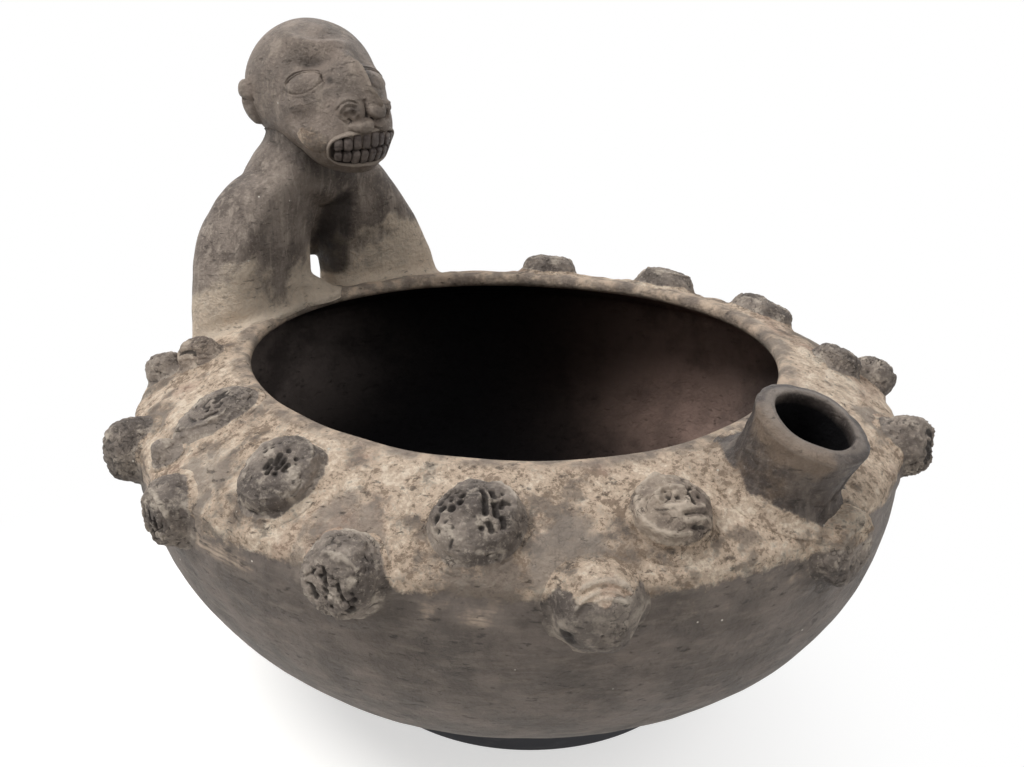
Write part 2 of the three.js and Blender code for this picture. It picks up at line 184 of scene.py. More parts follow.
# Both ends of the last span in which a test goes from passed to failed, found by halving
def halve(test, passed, failed):
    for _ in range(halvings):
        middle = (passed + failed) / 2
        good = test(middle)
        passed, failed = np.where(good, middle, passed), np.where(good, failed, middle)
    return passed, failed


# 1 in the middle, falling away over a width to either side
def bell(value, width):
    return np.exp(-(value / width) ** 2)


# A cosine or a sine whose circle becomes squarer as the power gets smaller
def squared(value, power):
    return np.sign(value) * np.abs(value) ** power


# Degrees round from a direction, -180 to 180
def turnFrom(azimuth, middle):
    return (azimuth - middle + 180) % 360 - 180


# The part of each direction that lies along the skin
def alongSkin(directions, skin):
    return unit(directions - (directions * skin).sum(-1, keepdims=True) * skin)


# Shader tools
class Wire:
    def __init__(self, surface, socket):
        self.surface = surface
        self.socket = socket

    def __add__(self, other):
        return self.surface.maths("ADD", self, other)

    def __sub__(self, other):
        return self.surface.maths("SUBTRACT", self, other)

    def __rsub__(self, other):
        return self.surface.maths("SUBTRACT", other, self)

    def __mul__(self, other):
        return self.surface.maths("MULTIPLY", self, other)

    __radd__ = __add__
    __rmul__ = __mul__


def linearColour(code):
    parts = [int(code[i:i + 2], 16) / 255 for i in (1, 3, 5)]
    lit = [p / 12.92 if p < 0.04045 else ((p + 0.055) / 1.055) ** 2.4 for p in parts]
    return (*lit, 1)


# The nodes of one material, or of the world
class Surface:
    def __init__(self, owner):
        owner.use_nodes = True
        self.material = owner
        self.tree = owner.node_tree
        self.tree.nodes.clear()

    def node(self, kind, settings=None, inputs=None, out=0):
        made = self.tree.nodes.new("ShaderNode" + kind)
        for key, value in (settings or {}).items():
            if key == "stops":
                self.setStops(made.color_ramp.elements, value)
            else:
                setattr(made, key, value)
        for key, value in (inputs or {}).items():
            if isinstance(value, Wire):
                self.tree.links.new(value.socket, made.inputs[key])
            elif isinstance(value, str):
                made.inputs[key].default_value = linearColour(value)
            else:
                made.inputs[key].default_value = value
        return Wire(self, made.outputs[out]) if len(made.outputs) else made

    def setStops(self, elements, stops):
        while len(elements) < len(stops):
            elements.new(1)
        for element, (position, value) in zip(elements, stops):
            element.position = position
            element.color = (value, value, value, 1)

    def maths(self, operation, first, second):
        return self.node("Math", {"operation": operation}, {0: first, 1: second})

    def place(self):
        return self.node("TexCoord", out="Object")

    def stretched(self, scale):
        return self.node("Mapping", None, {"Vector": self.place(), "Scale": scale})

    # Noise from 0 to 1; scale is lumps in a metre
    def noise(self, scale, detail=4, rough=0.55, vector=None, warp=0.0, at=0.0):
        inputs = {"Vector": vector or self.place(), "Scale": scale, "Detail": detail}
        inputs.update({"Roughness": rough, "Distortion": warp, "W": at})
        return self.node("TexNoise", {"noise_dimensions": "4D"}, inputs)

    def cells(self, scale, feature="F1", vector=None, out=0):
        inputs = {"Vector": vector or self.place(), "Scale": scale}
        return self.node("TexVoronoi", {"feature": feature}, inputs, out)

    # 0 up to low, 1 from high on
    def step(self, value, low, high):
        inputs = {"Value": value, "From Min": low, "From Max": high}
        return self.node("MapRange", {"interpolation_type": "SMOOTHSTEP"}, inputs)

    # Soft-edged patches of noise: low and high are the noise values at their edges
    def patches(self, low, high, scale, *noise, **more):
        return self.step(self.noise(scale, *noise, **more), low, high)

    def mix(self, factor, first, second, blend="MIX"):
        settings = {"data_type": "RGBA", "blend_type": blend}
        return self.node("Mix", settings, {0: factor, 6: first, 7: second}, 2)

    def attribute(self, name):
        return self.node("Attribute", {"attribute_name": name}, None, "Fac")

    def bump(self, height):
        return self.node("Bump", None, {"Height": height, "Strength": 1.0, "Distance": 1.0})

    # 1 where the camera, a reflection or a clear material looks straight at it
    def lookedAt(self):
        rays = ("Camera", "Glossy", "Transmission")
        seen = [self.node("LightPath", out=f"Is {kind} Ray") for kind in rays]
        return self.maths("MAXIMUM", self.maths("MAXIMUM", seen[0], seen[1]), seen[2])

    def finish(self, shader, output="OutputMaterial"):
        self.node(output, None, {"Surface": shader})
        return self.material


def newSurface(name):
    return Surface(bpy.data.materials.new(name))


# The bowl's form, in millimetres and degrees
bowl = {
    "bellyRadius": 180,
    "bellyOval": 5,
    "bellyTurn": 5,
    "rimHeight": 157,
    "shoulderDrop": 25,
    "bellyFullness": 2.42,
    "shoulderFullness": 1.25,
    "mouthRadius": 123.5,
    "mouthOval": 5,
    "mouthOvalTurn": 15,
    "mouthEgg": 2.3,
    "mouthEggTurn": 71,
    "lipWidth": 6.5,
    "wall": 7,
    "lipBend": 172,
    "rimWave": 0.55,
    "splitHeight": 26,
    "around": 432,
    "undersideRings": 34,
    "sideRings": 88,
    "lipRings": 9,
    "insideRings": 52,
}
bellyHeight = bowl["rimHeight"] - bowl["shoulderDrop"]


def mouthEdge(azimuth):
    oval = bowl["mouthOval"] * np.cos(2 * (azimuth - math.radians(bowl["mouthOvalTurn"])))
    egg = bowl["mouthEgg"] * np.cos(3 * (azimuth - math.radians(bowl["mouthEggTurn"])))
    return bowl["mouthRadius"] + oval + egg


def bellyOval(azimuth):
    return bowl["bellyOval"] * np.cos(2 * (azimuth - math.radians(bowl["bellyTurn"])))


# Radii of the shoulder's inner and outer edges
def shoulderEdges(azimuth):
    return mouthEdge(azimuth) + bowl["lipWidth"], bowl["bellyRadius"] + bellyOval(azimuth)


# Radius and height at a stage: -1 is the underside's middle, 0 the widest, 1 the rim
def bowlOutline(azimuth, stage):
    angle = np.clip(np.abs(stage), 0, 1) * np.pi / 2
    power = np.where(stage < 0, 2 / bowl["bellyFullness"], 2 / bowl["shoulderFullness"])
    share = np.clip(np.cos(angle), 0, 1) ** power
    height = np.clip(np.sin(angle), 0, 1) ** power
    rim, belly = shoulderEdges(azimuth)
    under = bowl["bellyRadius"] * share + bellyOval(azimuth) * share ** 3
    radius = np.where(stage < 0, under, rim * (1 - share) + belly * share)
    low = bellyHeight * (1 - height)
    return radius, np.where(stage < 0, low, bellyHeight + bowl["shoulderDrop"] * height)


def polar(azimuth, radius, height):
    return np.stack([radius * np.cos(azimuth), radius * np.sin(azimuth), height], -1)


# The bowl leans over to its underside's middle below the widest level
def middleAt(height):
    share = np.clip(1 - height / bellyHeight, 0, None) ** 3
    return np.stack([footSetOver[0] * share, footSetOver[1] * share, 0 * share], -1)


# A point of the bowl's skin moved out along the skin's own normal
def bowlPoint(azimuth, stage, offset=0.0):
    nearby = 0.01
    radiusA, heightA = bowlOutline(azimuth, np.maximum(stage - nearby, -1))
    radiusB, heightB = bowlOutline(azimuth, np.minimum(stage + nearby, 1))
    radius, height = bowlOutline(azimuth, stage)
    length = np.hypot(radiusB - radiusA, heightB - heightA)
    outward = (heightB - heightA) / length
    upward = -(radiusB - radiusA) / length
    height = height + offset * upward
    return polar(azimuth, radius + offset * outward, height) + middleAt(height)


# Hand-made unevenness of the skin, out along the normal
def uneven(points):
    return 0.75 * lumps(points, 75, 1) + 0.3 * lumps(points, 24, 2)


# How far points are outside the bowl's skin, and the skin's normal there
def bowlGap(points, withUneven=True):
    x, y, z = (points - middleAt(points[:, 2])).T
    azimuth = np.arctan2(y, x)
    radius = np.maximum(np.hypot(x, y), 1e-6)
    rim, belly = shoulderEdges(azimuth)
    full = bowl["shoulderFullness"]
    across = np.clip((radius - rim) / (belly - rim), 1e-6, None)
    up = np.clip((z - bellyHeight) / bowl["shoulderDrop"], 1e-6, None)
    value = across ** full + up ** full - 1
    slopeR = full * across ** (full - 1) / (belly - rim)
    slopeZ = full * up ** (full - 1) / bowl["shoulderDrop"]
    full = bowl["bellyFullness"]
    share = radius / belly
    down = np.clip((bellyHeight - z) / bellyHeight, 1e-6, None)
    lower = z < bellyHeight
    value = np.where(lower, share ** full + down ** full - 1, value)
    slopeR = np.where(lower, full * share ** (full - 1) / belly, slopeR)
    slopeZ = np.where(lower, -full * down ** (full - 1) / bellyHeight, slopeZ)
    steep = np.hypot(slopeR, slopeZ)
    normal = polar(azimuth, slopeR / steep, slopeZ / steep)
    gap = value / steep
    if withUneven:
        gap = gap - uneven(points)
    return gap, normal


# Height of the shoulder's skin at a radius
def shoulderRise(azimuth, radius):
    rim, belly = shoulderEdges(azimuth)
    share = np.clip((radius - rim) / (belly - rim), 0, 1)
    angle = np.arccos(share ** (bowl["shoulderFullness"] / 2))
    return bellyHeight + bowl["shoulderDrop"] * np.sin(angle) ** (2 / bowl["shoulderFullness"])


# Stage of the bowl's outline at a distance below the rim
def stageAt(down):
    if down <= bowl["shoulderDrop"]:
        share = (1 - down / bowl["shoulderDrop"]) ** (bowl["shoulderFullness"] / 2)
        return math.asin(share) / (math.pi / 2)
    share = ((down - bowl["shoulderDrop"]) / bellyHeight) ** (bowl["bellyFullness"] / 2)
    return -math.asin(share) / (math.pi / 2)


# Sideways push that brings a side down on to the skin in a quarter round of the given size
def fillet(gap, size):
    short = np.clip(size - np.clip(gap, 0, None), 0, size)
    return size - np.sqrt(np.maximum(size ** 2 - short ** 2, 0))


# Marks in a flat plane of millimetres. A pit is its middle, size and depth; a cut both ends, width
# and depth; an arc its middle, two radii, first and last degrees, width and rise; pecks are a patch's
# middle and two radii, how many there are, their size and depth.
def marksHeight(marks, u, v, seed=0):
    height = np.zeros_like(u)
    arcEnd = 14
    for x, y, size, depth in marks.get("pits", []):
        height -= depth * bell(np.hypot(u - x, v - y), size)
    for x0, y0, x1, y1, width, depth in marks.get("cuts", []):
        length = (x1 - x0) ** 2 + (y1 - y0) ** 2
        along = np.clip(((u - x0) * (x1 - x0) + (v - y0) * (y1 - y0)) / length, 0, 1)
        away = np.hypot(u - x0 - along * (x1 - x0), v - y0 - along * (y1 - y0))
        height -= depth * bell(away, width)
    for x, y, radiusU, radiusV, start, end, width, rise in marks.get("arcs", []):
        turned = (np.degrees(np.arctan2((v - y) / radiusV, (u - x) / radiusU)) - start) % 360
        away = (np.hypot((u - x) / radiusU, (v - y) / radiusV) - 1) * (radiusU + radiusV) / 2
        span = end - start
        ends = smoothStep(0, arcEnd, turned) * (1 - smoothStep(span - arcEnd, span, turned))
        height += rise * ends * bell(away, width)
    dice = np.random.default_rng(seed)
    for x, y, radiusU, radiusV, count, size, depth in marks.get("pecks", []):
        for _ in range(count):
            angle, reach = dice.uniform(0, 2 * np.pi), math.sqrt(dice.uniform())
            px = x + radiusU * reach * math.cos(angle)
            py = y + radiusV * reach * math.sin(angle)
            wide = size * dice.uniform(0.7, 1.3)
            height -= depth * dice.uniform(0.5, 1.2) * bell(np.hypot(u - px, v - py), wide)
    return height


# Bosses: degrees round from +X, distance below the rim, width, stand-out and stretch up the bowl.
# The pale slip reaches paleUpTo over the skin. Above its upper level a boss is pale, partly slip and
# partly a painted highlight on its top, and under its lower level it carries painted shade; crumbs is how
# rough the skin is, and the rest are marks for marksHeight.
bosses = [
    {"name": "boss_01", "azimuth": -4, "down": 34, "width": 33, "out": 10, "stretch": 0.95,
     "paleAndLitAbove": 2, "shadeBelow": -2,
     "pecks": [(0, 0, 12, 10, 26, 0.9, 0.5)], "arcs": [(0, 0, 13, 12, 20, 200, 1.1, 0.7)]},
    {"name": "boss_02", "azimuth": -27, "down": 11, "width": 33, "out": 12, "stretch": 1,
     "paleUpTo": 11,
     "arcs": [(-1.5, 0.8, 6.4, 4.6, 0, 359, 1.2, 1.0), (-1, 0, 13.5, 13.5, 80, 290, 1.0, 1.2)],
     "cuts": [(-1.4, -5.2, 8.5, -5.0, 1.3, -0.9), (0.2, -7.4, 9.6, -7.6, 0.8, 0.9),
              (-0.7, -9.6, 9.6, -9.9, 1.4, -0.9), (1, -12.4, 9, -12.2, 0.9, 0.8),
              (5.4, 3.0, 6.2, -3.4, 0.9, 1.6)],
     "pits": [(7.4, 8.8, 0.9, 2.2), (9.6, 6.0, 0.9, 2.2), (7.6, 3.4, 0.8, 1.8), (10.6, 2.2, 0.9, 2.0),
              (11.6, 8.2, 0.8, 1.6), (9.2, -0.6, 0.8, 1.8), (-3.4, 1.4, 1.0, 1.4), (0.4, 0.4, 0.9, 1.2)],
     "pecks": [(-3, 4, 8, 7, 26, 0.8, 0.8)]},
    {"name": "boss_03", "azimuth": -38.5, "down": 33, "width": 33, "out": 13, "stretch": 1,
     "crumbs": 0.35, "paleAndLitAbove": 8.5, "shadeBelow": 8.5,
     "arcs": [(0, -2, 14.5, 17, 35, 150, 0.9, 1.3), (0, -2, 12.8, 14.8, 50, 155, 0.8, 1.1),
              (-1, -2, 13.6, 15.8, 40, 140, 0.7, -1.0), (0, -2, 11.2, 12.6, 40, 120, 0.8, 0.9)],
     "pits": [(-13, -5, 1.8, 2.2), (-12, -8.5, 1.4, 1.8)], "pecks": [(5, -4, 8, 6, 10, 0.7, 0.6)]},
    {"name": "boss_04", "azimuth": -53, "down": 11, "width": 35, "out": 14, "stretch": 1,
     "pits": [(-13.4, 2.8, 1.2, 3.2), (-11.6, 5.8, 1.2, 3.2), (-8.2, 6.6, 1.2, 3.2),
              (-5.4, 4.4, 1.2, 3.0), (-5.8, 0.8, 1.2, 3.2), (-8.8, -1.6, 1.3, 3.4),
              (-12.2, -0.8, 1.2, 3.2), (-13.8, -4.2, 1.1, 2.4), (-9.4, 2.4, 0.8, 1.6),
              (9.5, 7.5, 1.0, 2.0), (12.2, 3.0, 1.0, 2.2), (3.0, -9.4, 1.0, 1.8)],
     "cuts": [(3.2, 3.5, 3.8, -3.5, 1.1, 3.2), (5.6, 6.8, 6.4, 4.2, 1.0, 2.6),
              (7.0, 0.4, 7.8, -3.6, 1.2, 3.2), (10.4, 3.2, 9.6, 0.2, 1.0, 2.6),
              (10.2, -4.6, 10.8, -7.0, 1.0, 2.4), (1.8, 7.0, 2.6, 5.2, 1.0, 2.2),
              (5.8, -7.4, 6.6, -9.6, 1.0, 2.2)],
     "arcs": [(0, 0, 15, 15, 10, 80, 0.8, 1.2), (-9.6, 6.4, 1.8, 1.8, 0, 359, 0.8, 0.7)],
     "pecks": [(-10, -10.5, 4, 5, 16, 0.7, 0.9), (1, -3, 12, 10, 16, 0.6, 0.6)]},
    {"name": "boss_05", "azimuth": -69, "down": 28, "width": 31, "out": 13, "stretch": 1.05,
     "crumbs": 1.2,
     "cuts": [(-3, 9, -1, 3, 0.9, 2.0), (4, 4, 6, -2, 0.8, 1.8), (-8, 1, -6, -4, 0.8, 1.8)],
     "arcs": [(0, 0, 13, 14, 20, 120, 0.9, 1.2)],
     "pits": [(8, -6, 1.0, 2.2), (5, -9, 0.9, 2.0), (10, -2, 0.9, 2.0), (1, -6, 0.9, 1.8),
              (-4, 6, 0.9, 1.8)],
     "pecks": [(2, -3, 10, 9, 30, 0.8, 0.9)]},
    {"name": "boss_06", "azimuth": -85, "down": 10, "width": 33, "out": 12, "stretch": 1.15,
     "arcs": [(0, 0, 14, 16, 20, 200, 0.8, 0.8), (0, 0, 14, 16, 240, 330, 0.7, 0.6)],
     "pits": [(-7, 8, 1.0, 2.4), (-4.4, 9.6, 1.0, 2.4), (-4.8, 6.4, 1.0, 2.4), (-8.8, 5.2, 1.0, 2.2),
              (-6.6, 3.4, 1.0, 2.2), (5.8, -4.4, 1.1, 2.6), (8.4, 6.0, 1.0, 2.2), (3.2, 7.4, 1.0, 2.2)],
     "cuts": [(1.2, 4.4, 2.0, 0.2, 1.1, 2.8), (4.4, 3.6, 4.8, -1.4, 1.2, 3.0),
              (-1.0, 0.6, -0.4, -3.4, 1.0, 2.6), (7.4, 2.2, 7.8, -1.2, 1.0, 2.4),
              (1.8, -2.6, 2.4, -5.4, 1.0, 2.4)],
     "pecks": [(-4, -6, 7, 6, 16, 0.8, 0.9), (6, 4, 6, 7, 12, 0.8, 0.9)]},
    {"name": "boss_07", "azimuth": -101, "down": 32, "width": 29, "out": 12, "stretch": 1, "crumbs": 1.2,
     "cuts": [(-8, 5, -7.8, 0, 0.8, 2.2), (-4.5, 7, -4.2, 2, 0.8, 2.2), (-1, 6, -0.8, 1, 0.8, 2.2),
              (2.6, 5, 2.8, 0, 0.8, 2.2), (6, 3, 6, -2, 0.8, 2.0), (-6, -3, -5.6, -8, 0.8, 2.0),
              (-1.6, -3, -1.4, -8, 0.8, 2.0), (3, -4, 3, -8, 0.8, 1.8)],
     "arcs": [(0, 0, 12.5, 12, 10, 110, 0.9, 1.3)], "pecks": [(0, 0, 10, 9, 22, 0.8, 0.8)]},
    {"name": "boss_08", "azimuth": -111.5, "down": 6, "width": 27, "out": 6, "stretch": 1.4,
     "paleUpTo": 2.5, "crumbs": 1.1,
     "cuts": [(-3, 9, -1, 4, 1.0, 1.8), (1, 7, 2, 2, 1.0, 1.8), (-2, 1, 0, -3, 1.0, 1.6)],
     "arcs": [(0, 0, 11, 16, 250, 380, 1.1, 0.9), (1, -1, 8, 11, 240, 380, 0.9, -0.8)],
     "pecks": [(0, 3, 8, 10, 34, 0.9, 1.0)]},
    {"name": "boss_09", "azimuth": -110, "down": 18, "width": 11, "out": 7, "stretch": 1,
     "paleUpTo": 1.5},
    {"name": "boss_10", "azimuth": -122, "down": 30, "width": 27, "out": 14, "stretch": 1.1, "crumbs": 0.9,
     "shadeBelow": 9, "cuts": [(-8, 6, 8, 8, 0.8, 0.7), (-9, 2, 9, 4, 0.8, 0.7), (-9, -2, 9, 0, 0.8, 0.7),
              (-7, -6, 6, -4, 0.8, 0.7)]},
    {"name": "boss_11", "azimuth": -138.5, "down": 6, "width": 22, "out": 11, "stretch": 1,
     "paleUpTo": 3, "cuts": [(4, -8, 9, 2, 0.9, 1.6)], "pecks": [(-2, 2, 6, 5, 10, 0.8, 0.5)]},
    {"name": "boss_12", "azimuth": -141, "down": 16, "width": 20, "out": 10, "stretch": 1,
     "paleUpTo": 2, "pecks": [(0, -1, 7, 6, 24, 0.9, 0.8)]},
    {"name": "boss_13", "azimuth": 139, "down": 31, "width": 29, "out": 13, "stretch": 1,
     "pecks": [(0, 0, 10, 9, 24, 0.9, 0.6)]},
    {"name": "boss_14", "azimuth": 123, "down": 5, "width": 31, "out": 11, "stretch": 1,
     "arcs": [(0, 0, 12, 12, 10, 200, 1.0, 0.7)], "pecks": [(2, -2, 8, 8, 18, 0.9, 0.7)]},
    {"name": "boss_15", "azimuth": 108, "down": 34, "width": 30, "out": 13, "stretch": 1,
     "pecks": [(0, 0, 10, 9, 24, 0.9, 0.6)]},
    {"name": "boss_16", "azimuth": 94, "down": 5, "width": 32, "out": 11, "stretch": 1,
     "arcs": [(0, 0, 12, 13, 40, 260, 1.0, 0.8)]},
    {"name": "boss_17", "azimuth": 81, "down": 33, "width": 31, "out": 13, "stretch": 1,
     "cuts": [(-5, 5, -5, 0, 0.6, 0.8), (0, 6, 0, 1, 0.6, 0.8), (5, 4, 5, -1, 0.6, 0.8)]},
    {"name": "boss_18", "azimuth": 70.5, "down": 9, "width": 33, "out": 10, "stretch": 1,
     "pecks": [(0, 0, 11, 10, 30, 0.9, 0.6)]},
    {"name": "boss_19", "azimuth": 46, "down": 22.5, "width": 24, "out": 13, "stretch": 1,
     "pecks": [(0, 0, 8, 8, 26, 1.0, 0.9)]},
    {"name": "boss_20", "azimuth": 42, "down": 9, "width": 24, "out": 9, "stretch": 1,
     "arcs": [(0, 0, 9, 9, 60, 220, 0.9, 0.6)]},
    {"name": "boss_21", "azimuth": 24, "down": 25.5, "width": 27, "out": 14, "stretch": 1, "crumbs": 1.6,
     "cuts": [(-2, 9, 1, 0, 1.2, 2.4), (6, 4, 7, -6, 1.0, 2.0)], "pecks": [(0, 0, 10, 10, 36, 1.2, 1.4)]},
]
bossMaking = {
    "segments": 116,
    "rings": 92,
    "sideShare": 0.9,
    "fillet": 4.5,
    "sunk": -1.3,
    "sideRange": (0.3, 2.4),
    "boxy": 0.82,
    "bottom": 3.0,
    "crumbs": 0.8,
    "paleUpTo": 4,
    "pale": ("boss_02", "boss_11"),
}


# Middle, round, up and outward directions of a boss
def bossFrame(boss):
    azimuth = np.array([math.radians(boss["azimuth"])])
    stage = np.array([stageAt(boss["down"])])
    centre = bowlPoint(azimuth, stage)[0]
    up = unit(bowlPoint(azimuth, stage + 0.02)[0] - bowlPoint(azimuth, stage - 0.02)[0])
    roundWay = np.array([-math.sin(azimuth[0]), math.cos(azimuth[0]), 0])
    return centre, roundWay, up, np.cross(roundWay, up)


def makeBoss(boss, number):
    boss = {**bossMaking, **boss}
    piece, turn, share = startBall(boss["name"] + "_clay", boss)
    centre, roundWay, up, outward = bossFrame(boss)
    sizes = np.array([boss["width"] / 2, boss["stretch"] * boss["width"] / 2, boss["out"]])

    def onBoss(angle, fall):
        wide = np.sin(fall) ** boss["boxy"]
        tall = squared(np.cos(fall), boss["boxy"])
        local = np.stack([wide * np.cos(angle), wide * np.sin(angle), tall], -1) * sizes
        return centre + local[:, :1] * roundWay + local[:, 1:2] * up + local[:, 2:] * outward

    def clear(fall):
        return bowlGap(onBoss(turn, fall), False)[0] > boss["sunk"]

    # the fall from the crown at which the side goes under the skin
    fall = halve(clear, *[np.full(len(turn), end) for end in boss["sideRange"]])[0]
    down = np.clip(share / boss["sideShare"], 0, 1)
    points = onBoss(turn, down * fall)
    gap, skin = bowlGap(points)
    foot = fillet(gap, boss["fillet"]) * (down > 0.3)
    points = points + alongSkin(points - centre, skin) * foot[:, None]
    flat = points - centre
    u, v = flat @ roundWay, flat @ up
    handmade = 1.8 * lumps(points, 12, 3 + number) + 0.45 * lumps(points, 5, 9)
    handmade += boss["crumbs"] * (0.55 * lumps(points, 2.4, 5) + 0.35 * lumps(points, 1.3, 6))
    torn = np.clip(lumps(points, 9, 80 + number) * 3, 0, 1)
    handmade -= 0.9 * boss["crumbs"] * torn * bell(lumps(points, 5, 50 + number), 0.06)
    rise = marksHeight(boss, u, v, number)
    away = smoothStep(0.3, 3.0, gap)
    points = points + unit(flat + outward * boss["out"] * 0.5) * ((rise + handmade) * away)[:, None]
    bottom = centre - boss["bottom"] * outward
    points = points + (bottom - points) * smoothStep(boss["sideShare"], 1, share)[:, None]
    writePoints(piece, toScene(points))
    relief = (rise + handmade - 1.6 * lumps(points, 12, 3 + number)) * away
    ragged = v + 3 * lumps(points, 7, 90)
    # painted light on the boss: a highlight on what stands out and on its top, painted shade in what is
    # sunk and on its lower part
    shadeBelow, paleAndLitAbove = boss.get("shadeBelow", -farAway), boss.get("paleAndLitAbove", farAway)
    pale = np.maximum(1 - smoothStep(-1.0, boss["paleUpTo"], gap),
                      0.9 * smoothStep(paleAndLitAbove - 2, paleAndLitAbove + 4, ragged))
    paint(piece, raised=np.clip(relief - 0.3, 0, 2),
          cut=np.clip(-relief - 0.3, 0, 2) + 0.36 * smoothStep(shadeBelow + 2, shadeBelow - 3, ragged),
          shoulder=pale * smoothStep(118, 136, points[:, 2]))
    closePiece(piece)
    return piece


# Spout: rings from the shoulder up the tube, over the collar and lip, and down the bore
spout = {
    "azimuth": -6.7,
    "setOut": 2,
    "stand": 30.5,
    "lean": 23,
    "leanAzimuth": 4,
    "boreRadius": 16.5,
    "segments": 144,
    "footRadius": 21.0,
    "tubeRings": 60,
    "boreRings": 20,
    "fillet": 9,
    "collar": [(21.6, -24), (21.7, -19), (21.9, -15), (22.1, -11.5), (22.4, -8.5), (22.8, -6),
               (23.2, -4.0), (23.4, -2.8), (23.2, -1.9), (22.4, -1.3), (21.2, -0.9), (19.8, -0.5),
               (18.5, -0.15), (17.5, 0.0), (16.8, -0.3), (16.3, -1.1)],
    "outerWall": 18,
    "footRange": (-5, -75),
    "crack": {"top": 3, "foot": -48, "from": -16, "fall": 28, "deep": 1.8, "width": 2.6},
}


# The middle of the spout's lip, its axis, and the side and outward directions round it
def spoutFrame():
    azimuth = np.array([math.radians(spout["azimuth"])])
    rim, belly = shoulderEdges(azimuth)
    radius = (rim + belly) / 2 + spout["setOut"]
    seat = polar(azimuth, radius, shoulderRise(azimuth, radius))[0]
    lean, way = math.radians(spout["lean"]), math.radians(spout["leanAzimuth"])
    axis = np.array([math.sin(lean) * math.cos(way), math.sin(lean) * math.sin(way), math.cos(lean)])
    side = np.array([-math.sin(way), math.cos(way), 0])
    return seat + spout["stand"] * axis, axis, side, np.cross(side, axis)


# Points at angles round the spout's axis, distances from it and heights along it
def aroundSpout(angle, radius, height):
    tip, axis, side, out = spoutFrame()
    points = tip + height[:, None] * axis + (radius * np.cos(angle))[:, None] * out
    return points + (radius * np.sin(angle))[:, None] * side


# Heights of points along the spout's axis, and the way from the axis out to them
def fromSpout(points):
    tip, axis = spoutFrame()[:2]
    along = (points - tip) @ axis
    return along, points - tip - along[:, None] * axis


# Height along the spout at which each side line meets the skin at an offset
def spoutFoot(angle, radius, offset):
    def clear(height):
        return bowlGap(aroundSpout(angle, radius, height), False)[0] > offset

    return sum(halve(clear, *[np.full(len(angle), end, float) for end in spout["footRange"]])) / 2


# A circle is drawn up into a tube and cut into numbered rings
def spinTube(name, rings, segments):
    clearSelection()
    bpy.ops.mesh.primitive_circle_add(vertices=segments, radius=1)
    piece = startPiece(name)
    bpy.ops.object.mode_set(mode="EDIT")
    bpy.ops.mesh.select_mode(type="EDGE")
    bpy.ops.mesh.select_all(action="SELECT")
    bpy.ops.mesh.extrude_region_move(TRANSFORM_OT_translate={"value": (0, 0, rings - 1)})
    bpy.ops.object.mode_set(mode="OBJECT")
    for edge in piece.data.edges:
        a, b = (piece.data.vertices[i].co for i in edge.vertices)
        edge.select = abs(a.z - b.z) > 0.5
    bpy.ops.object.mode_set(mode="EDIT")
    bpy.ops.mesh.subdivide_edgering(number_cuts=rings - 2, interpolation="LINEAR")
    bpy.ops.object.mode_set(mode="OBJECT")
    points = readPoints(piece)
    ring = np.rint(points[:, 2]).astype(int)
    return piece, np.arctan2(points[:, 1], points[:, 0]), ring


# 1 in the crack down the tube, over degrees round it and height along it
def spoutCrack(angle, height, points):
    crack = spout["crack"]
    fallen = np.clip((crack["from"] - height) / crack["fall"], 0, 1)
    turn = crack["top"] + (crack["foot"] - crack["top"]) * fallen
    away = np.degrees(angle) - turn - 9 * lumps(points, 8, 37)
    return bell(away, crack["width"]) * smoothStep(-5, -14, height)


def makeSpout():
    outRings, collar = spout["tubeRings"], np.array(spout["collar"])
    total = outRings + len(collar) + spout["boreRings"] + 1
    piece, angle, ring = spinTube("spout_clay", total, spout["segments"])
    side, out = spoutFrame()[2:]
    outerFoot = spoutFoot(angle, collar[0, 0], -1.5)
    boreFoot = spoutFoot(angle, spout["boreRadius"], -3.5)
    radius = np.full(len(angle), spout["boreRadius"], float)
    height = np.zeros(len(angle))
    onTube = ring < outRings
    share = np.clip(ring / outRings, 0, 1)
    radius[onTube] = (spout["footRadius"] + (collar[0, 0] - spout["footRadius"]) * share)[onTube]
    height[onTube] = (outerFoot + (collar[0, 1] - outerFoot) * share)[onTube]
    onCollar = (ring >= outRings) & (ring < outRings + len(collar))
    picked = collar[ring[onCollar] - outRings]
    radius[onCollar], height[onCollar] = picked[:, 0], picked[:, 1]
    inBore = ring >= outRings + len(collar)
    bore = (ring - outRings - len(collar) + 1) / spout["boreRings"]
    height[inBore] = (collar[-1, 1] + (boreFoot - collar[-1, 1]) * np.clip(bore, 0, 1))[inBore]
    lastRing = ring == total - 1
    radius[lastRing] = collar[0, 0]
    height[lastRing] = outerFoot[lastRing]
    around = np.stack([np.cos(angle), np.sin(angle), np.zeros(len(angle))], -1)
    radius = radius + 0.7 * lumps(around * 22, 16, 31) * (height > -60)
    height = height + 0.8 * lumps(around * 22, 20, 33) * smoothStep(-14, -2, height)
    points = aroundSpout(angle, radius, height)
    outward = unit(np.cos(angle)[:, None] * out + np.sin(angle)[:, None] * side)
    gap, skin = bowlGap(points)
    fullWidth = radius > spout["outerWall"] + 1.5
    outside = (onTube | onCollar | lastRing) & fullWidth
    points = points + alongSkin(outward, skin) * (fillet(gap, spout["fillet"]) * outside)[:, None]
    rough = 0.6 * lumps(points, 7, 35) + 0.4 * lumps(points, 3, 36)
    rough = rough - spout["crack"]["deep"] * spoutCrack(angle, height, points)
    rough = rough * (onTube | onCollar) * fullWidth * smoothStep(1, 4, gap)
    points = points + outward * rough[:, None]
    writePoints(piece, toScene(points))
    closePiece(piece)
    paintSpout(piece)
    return piece


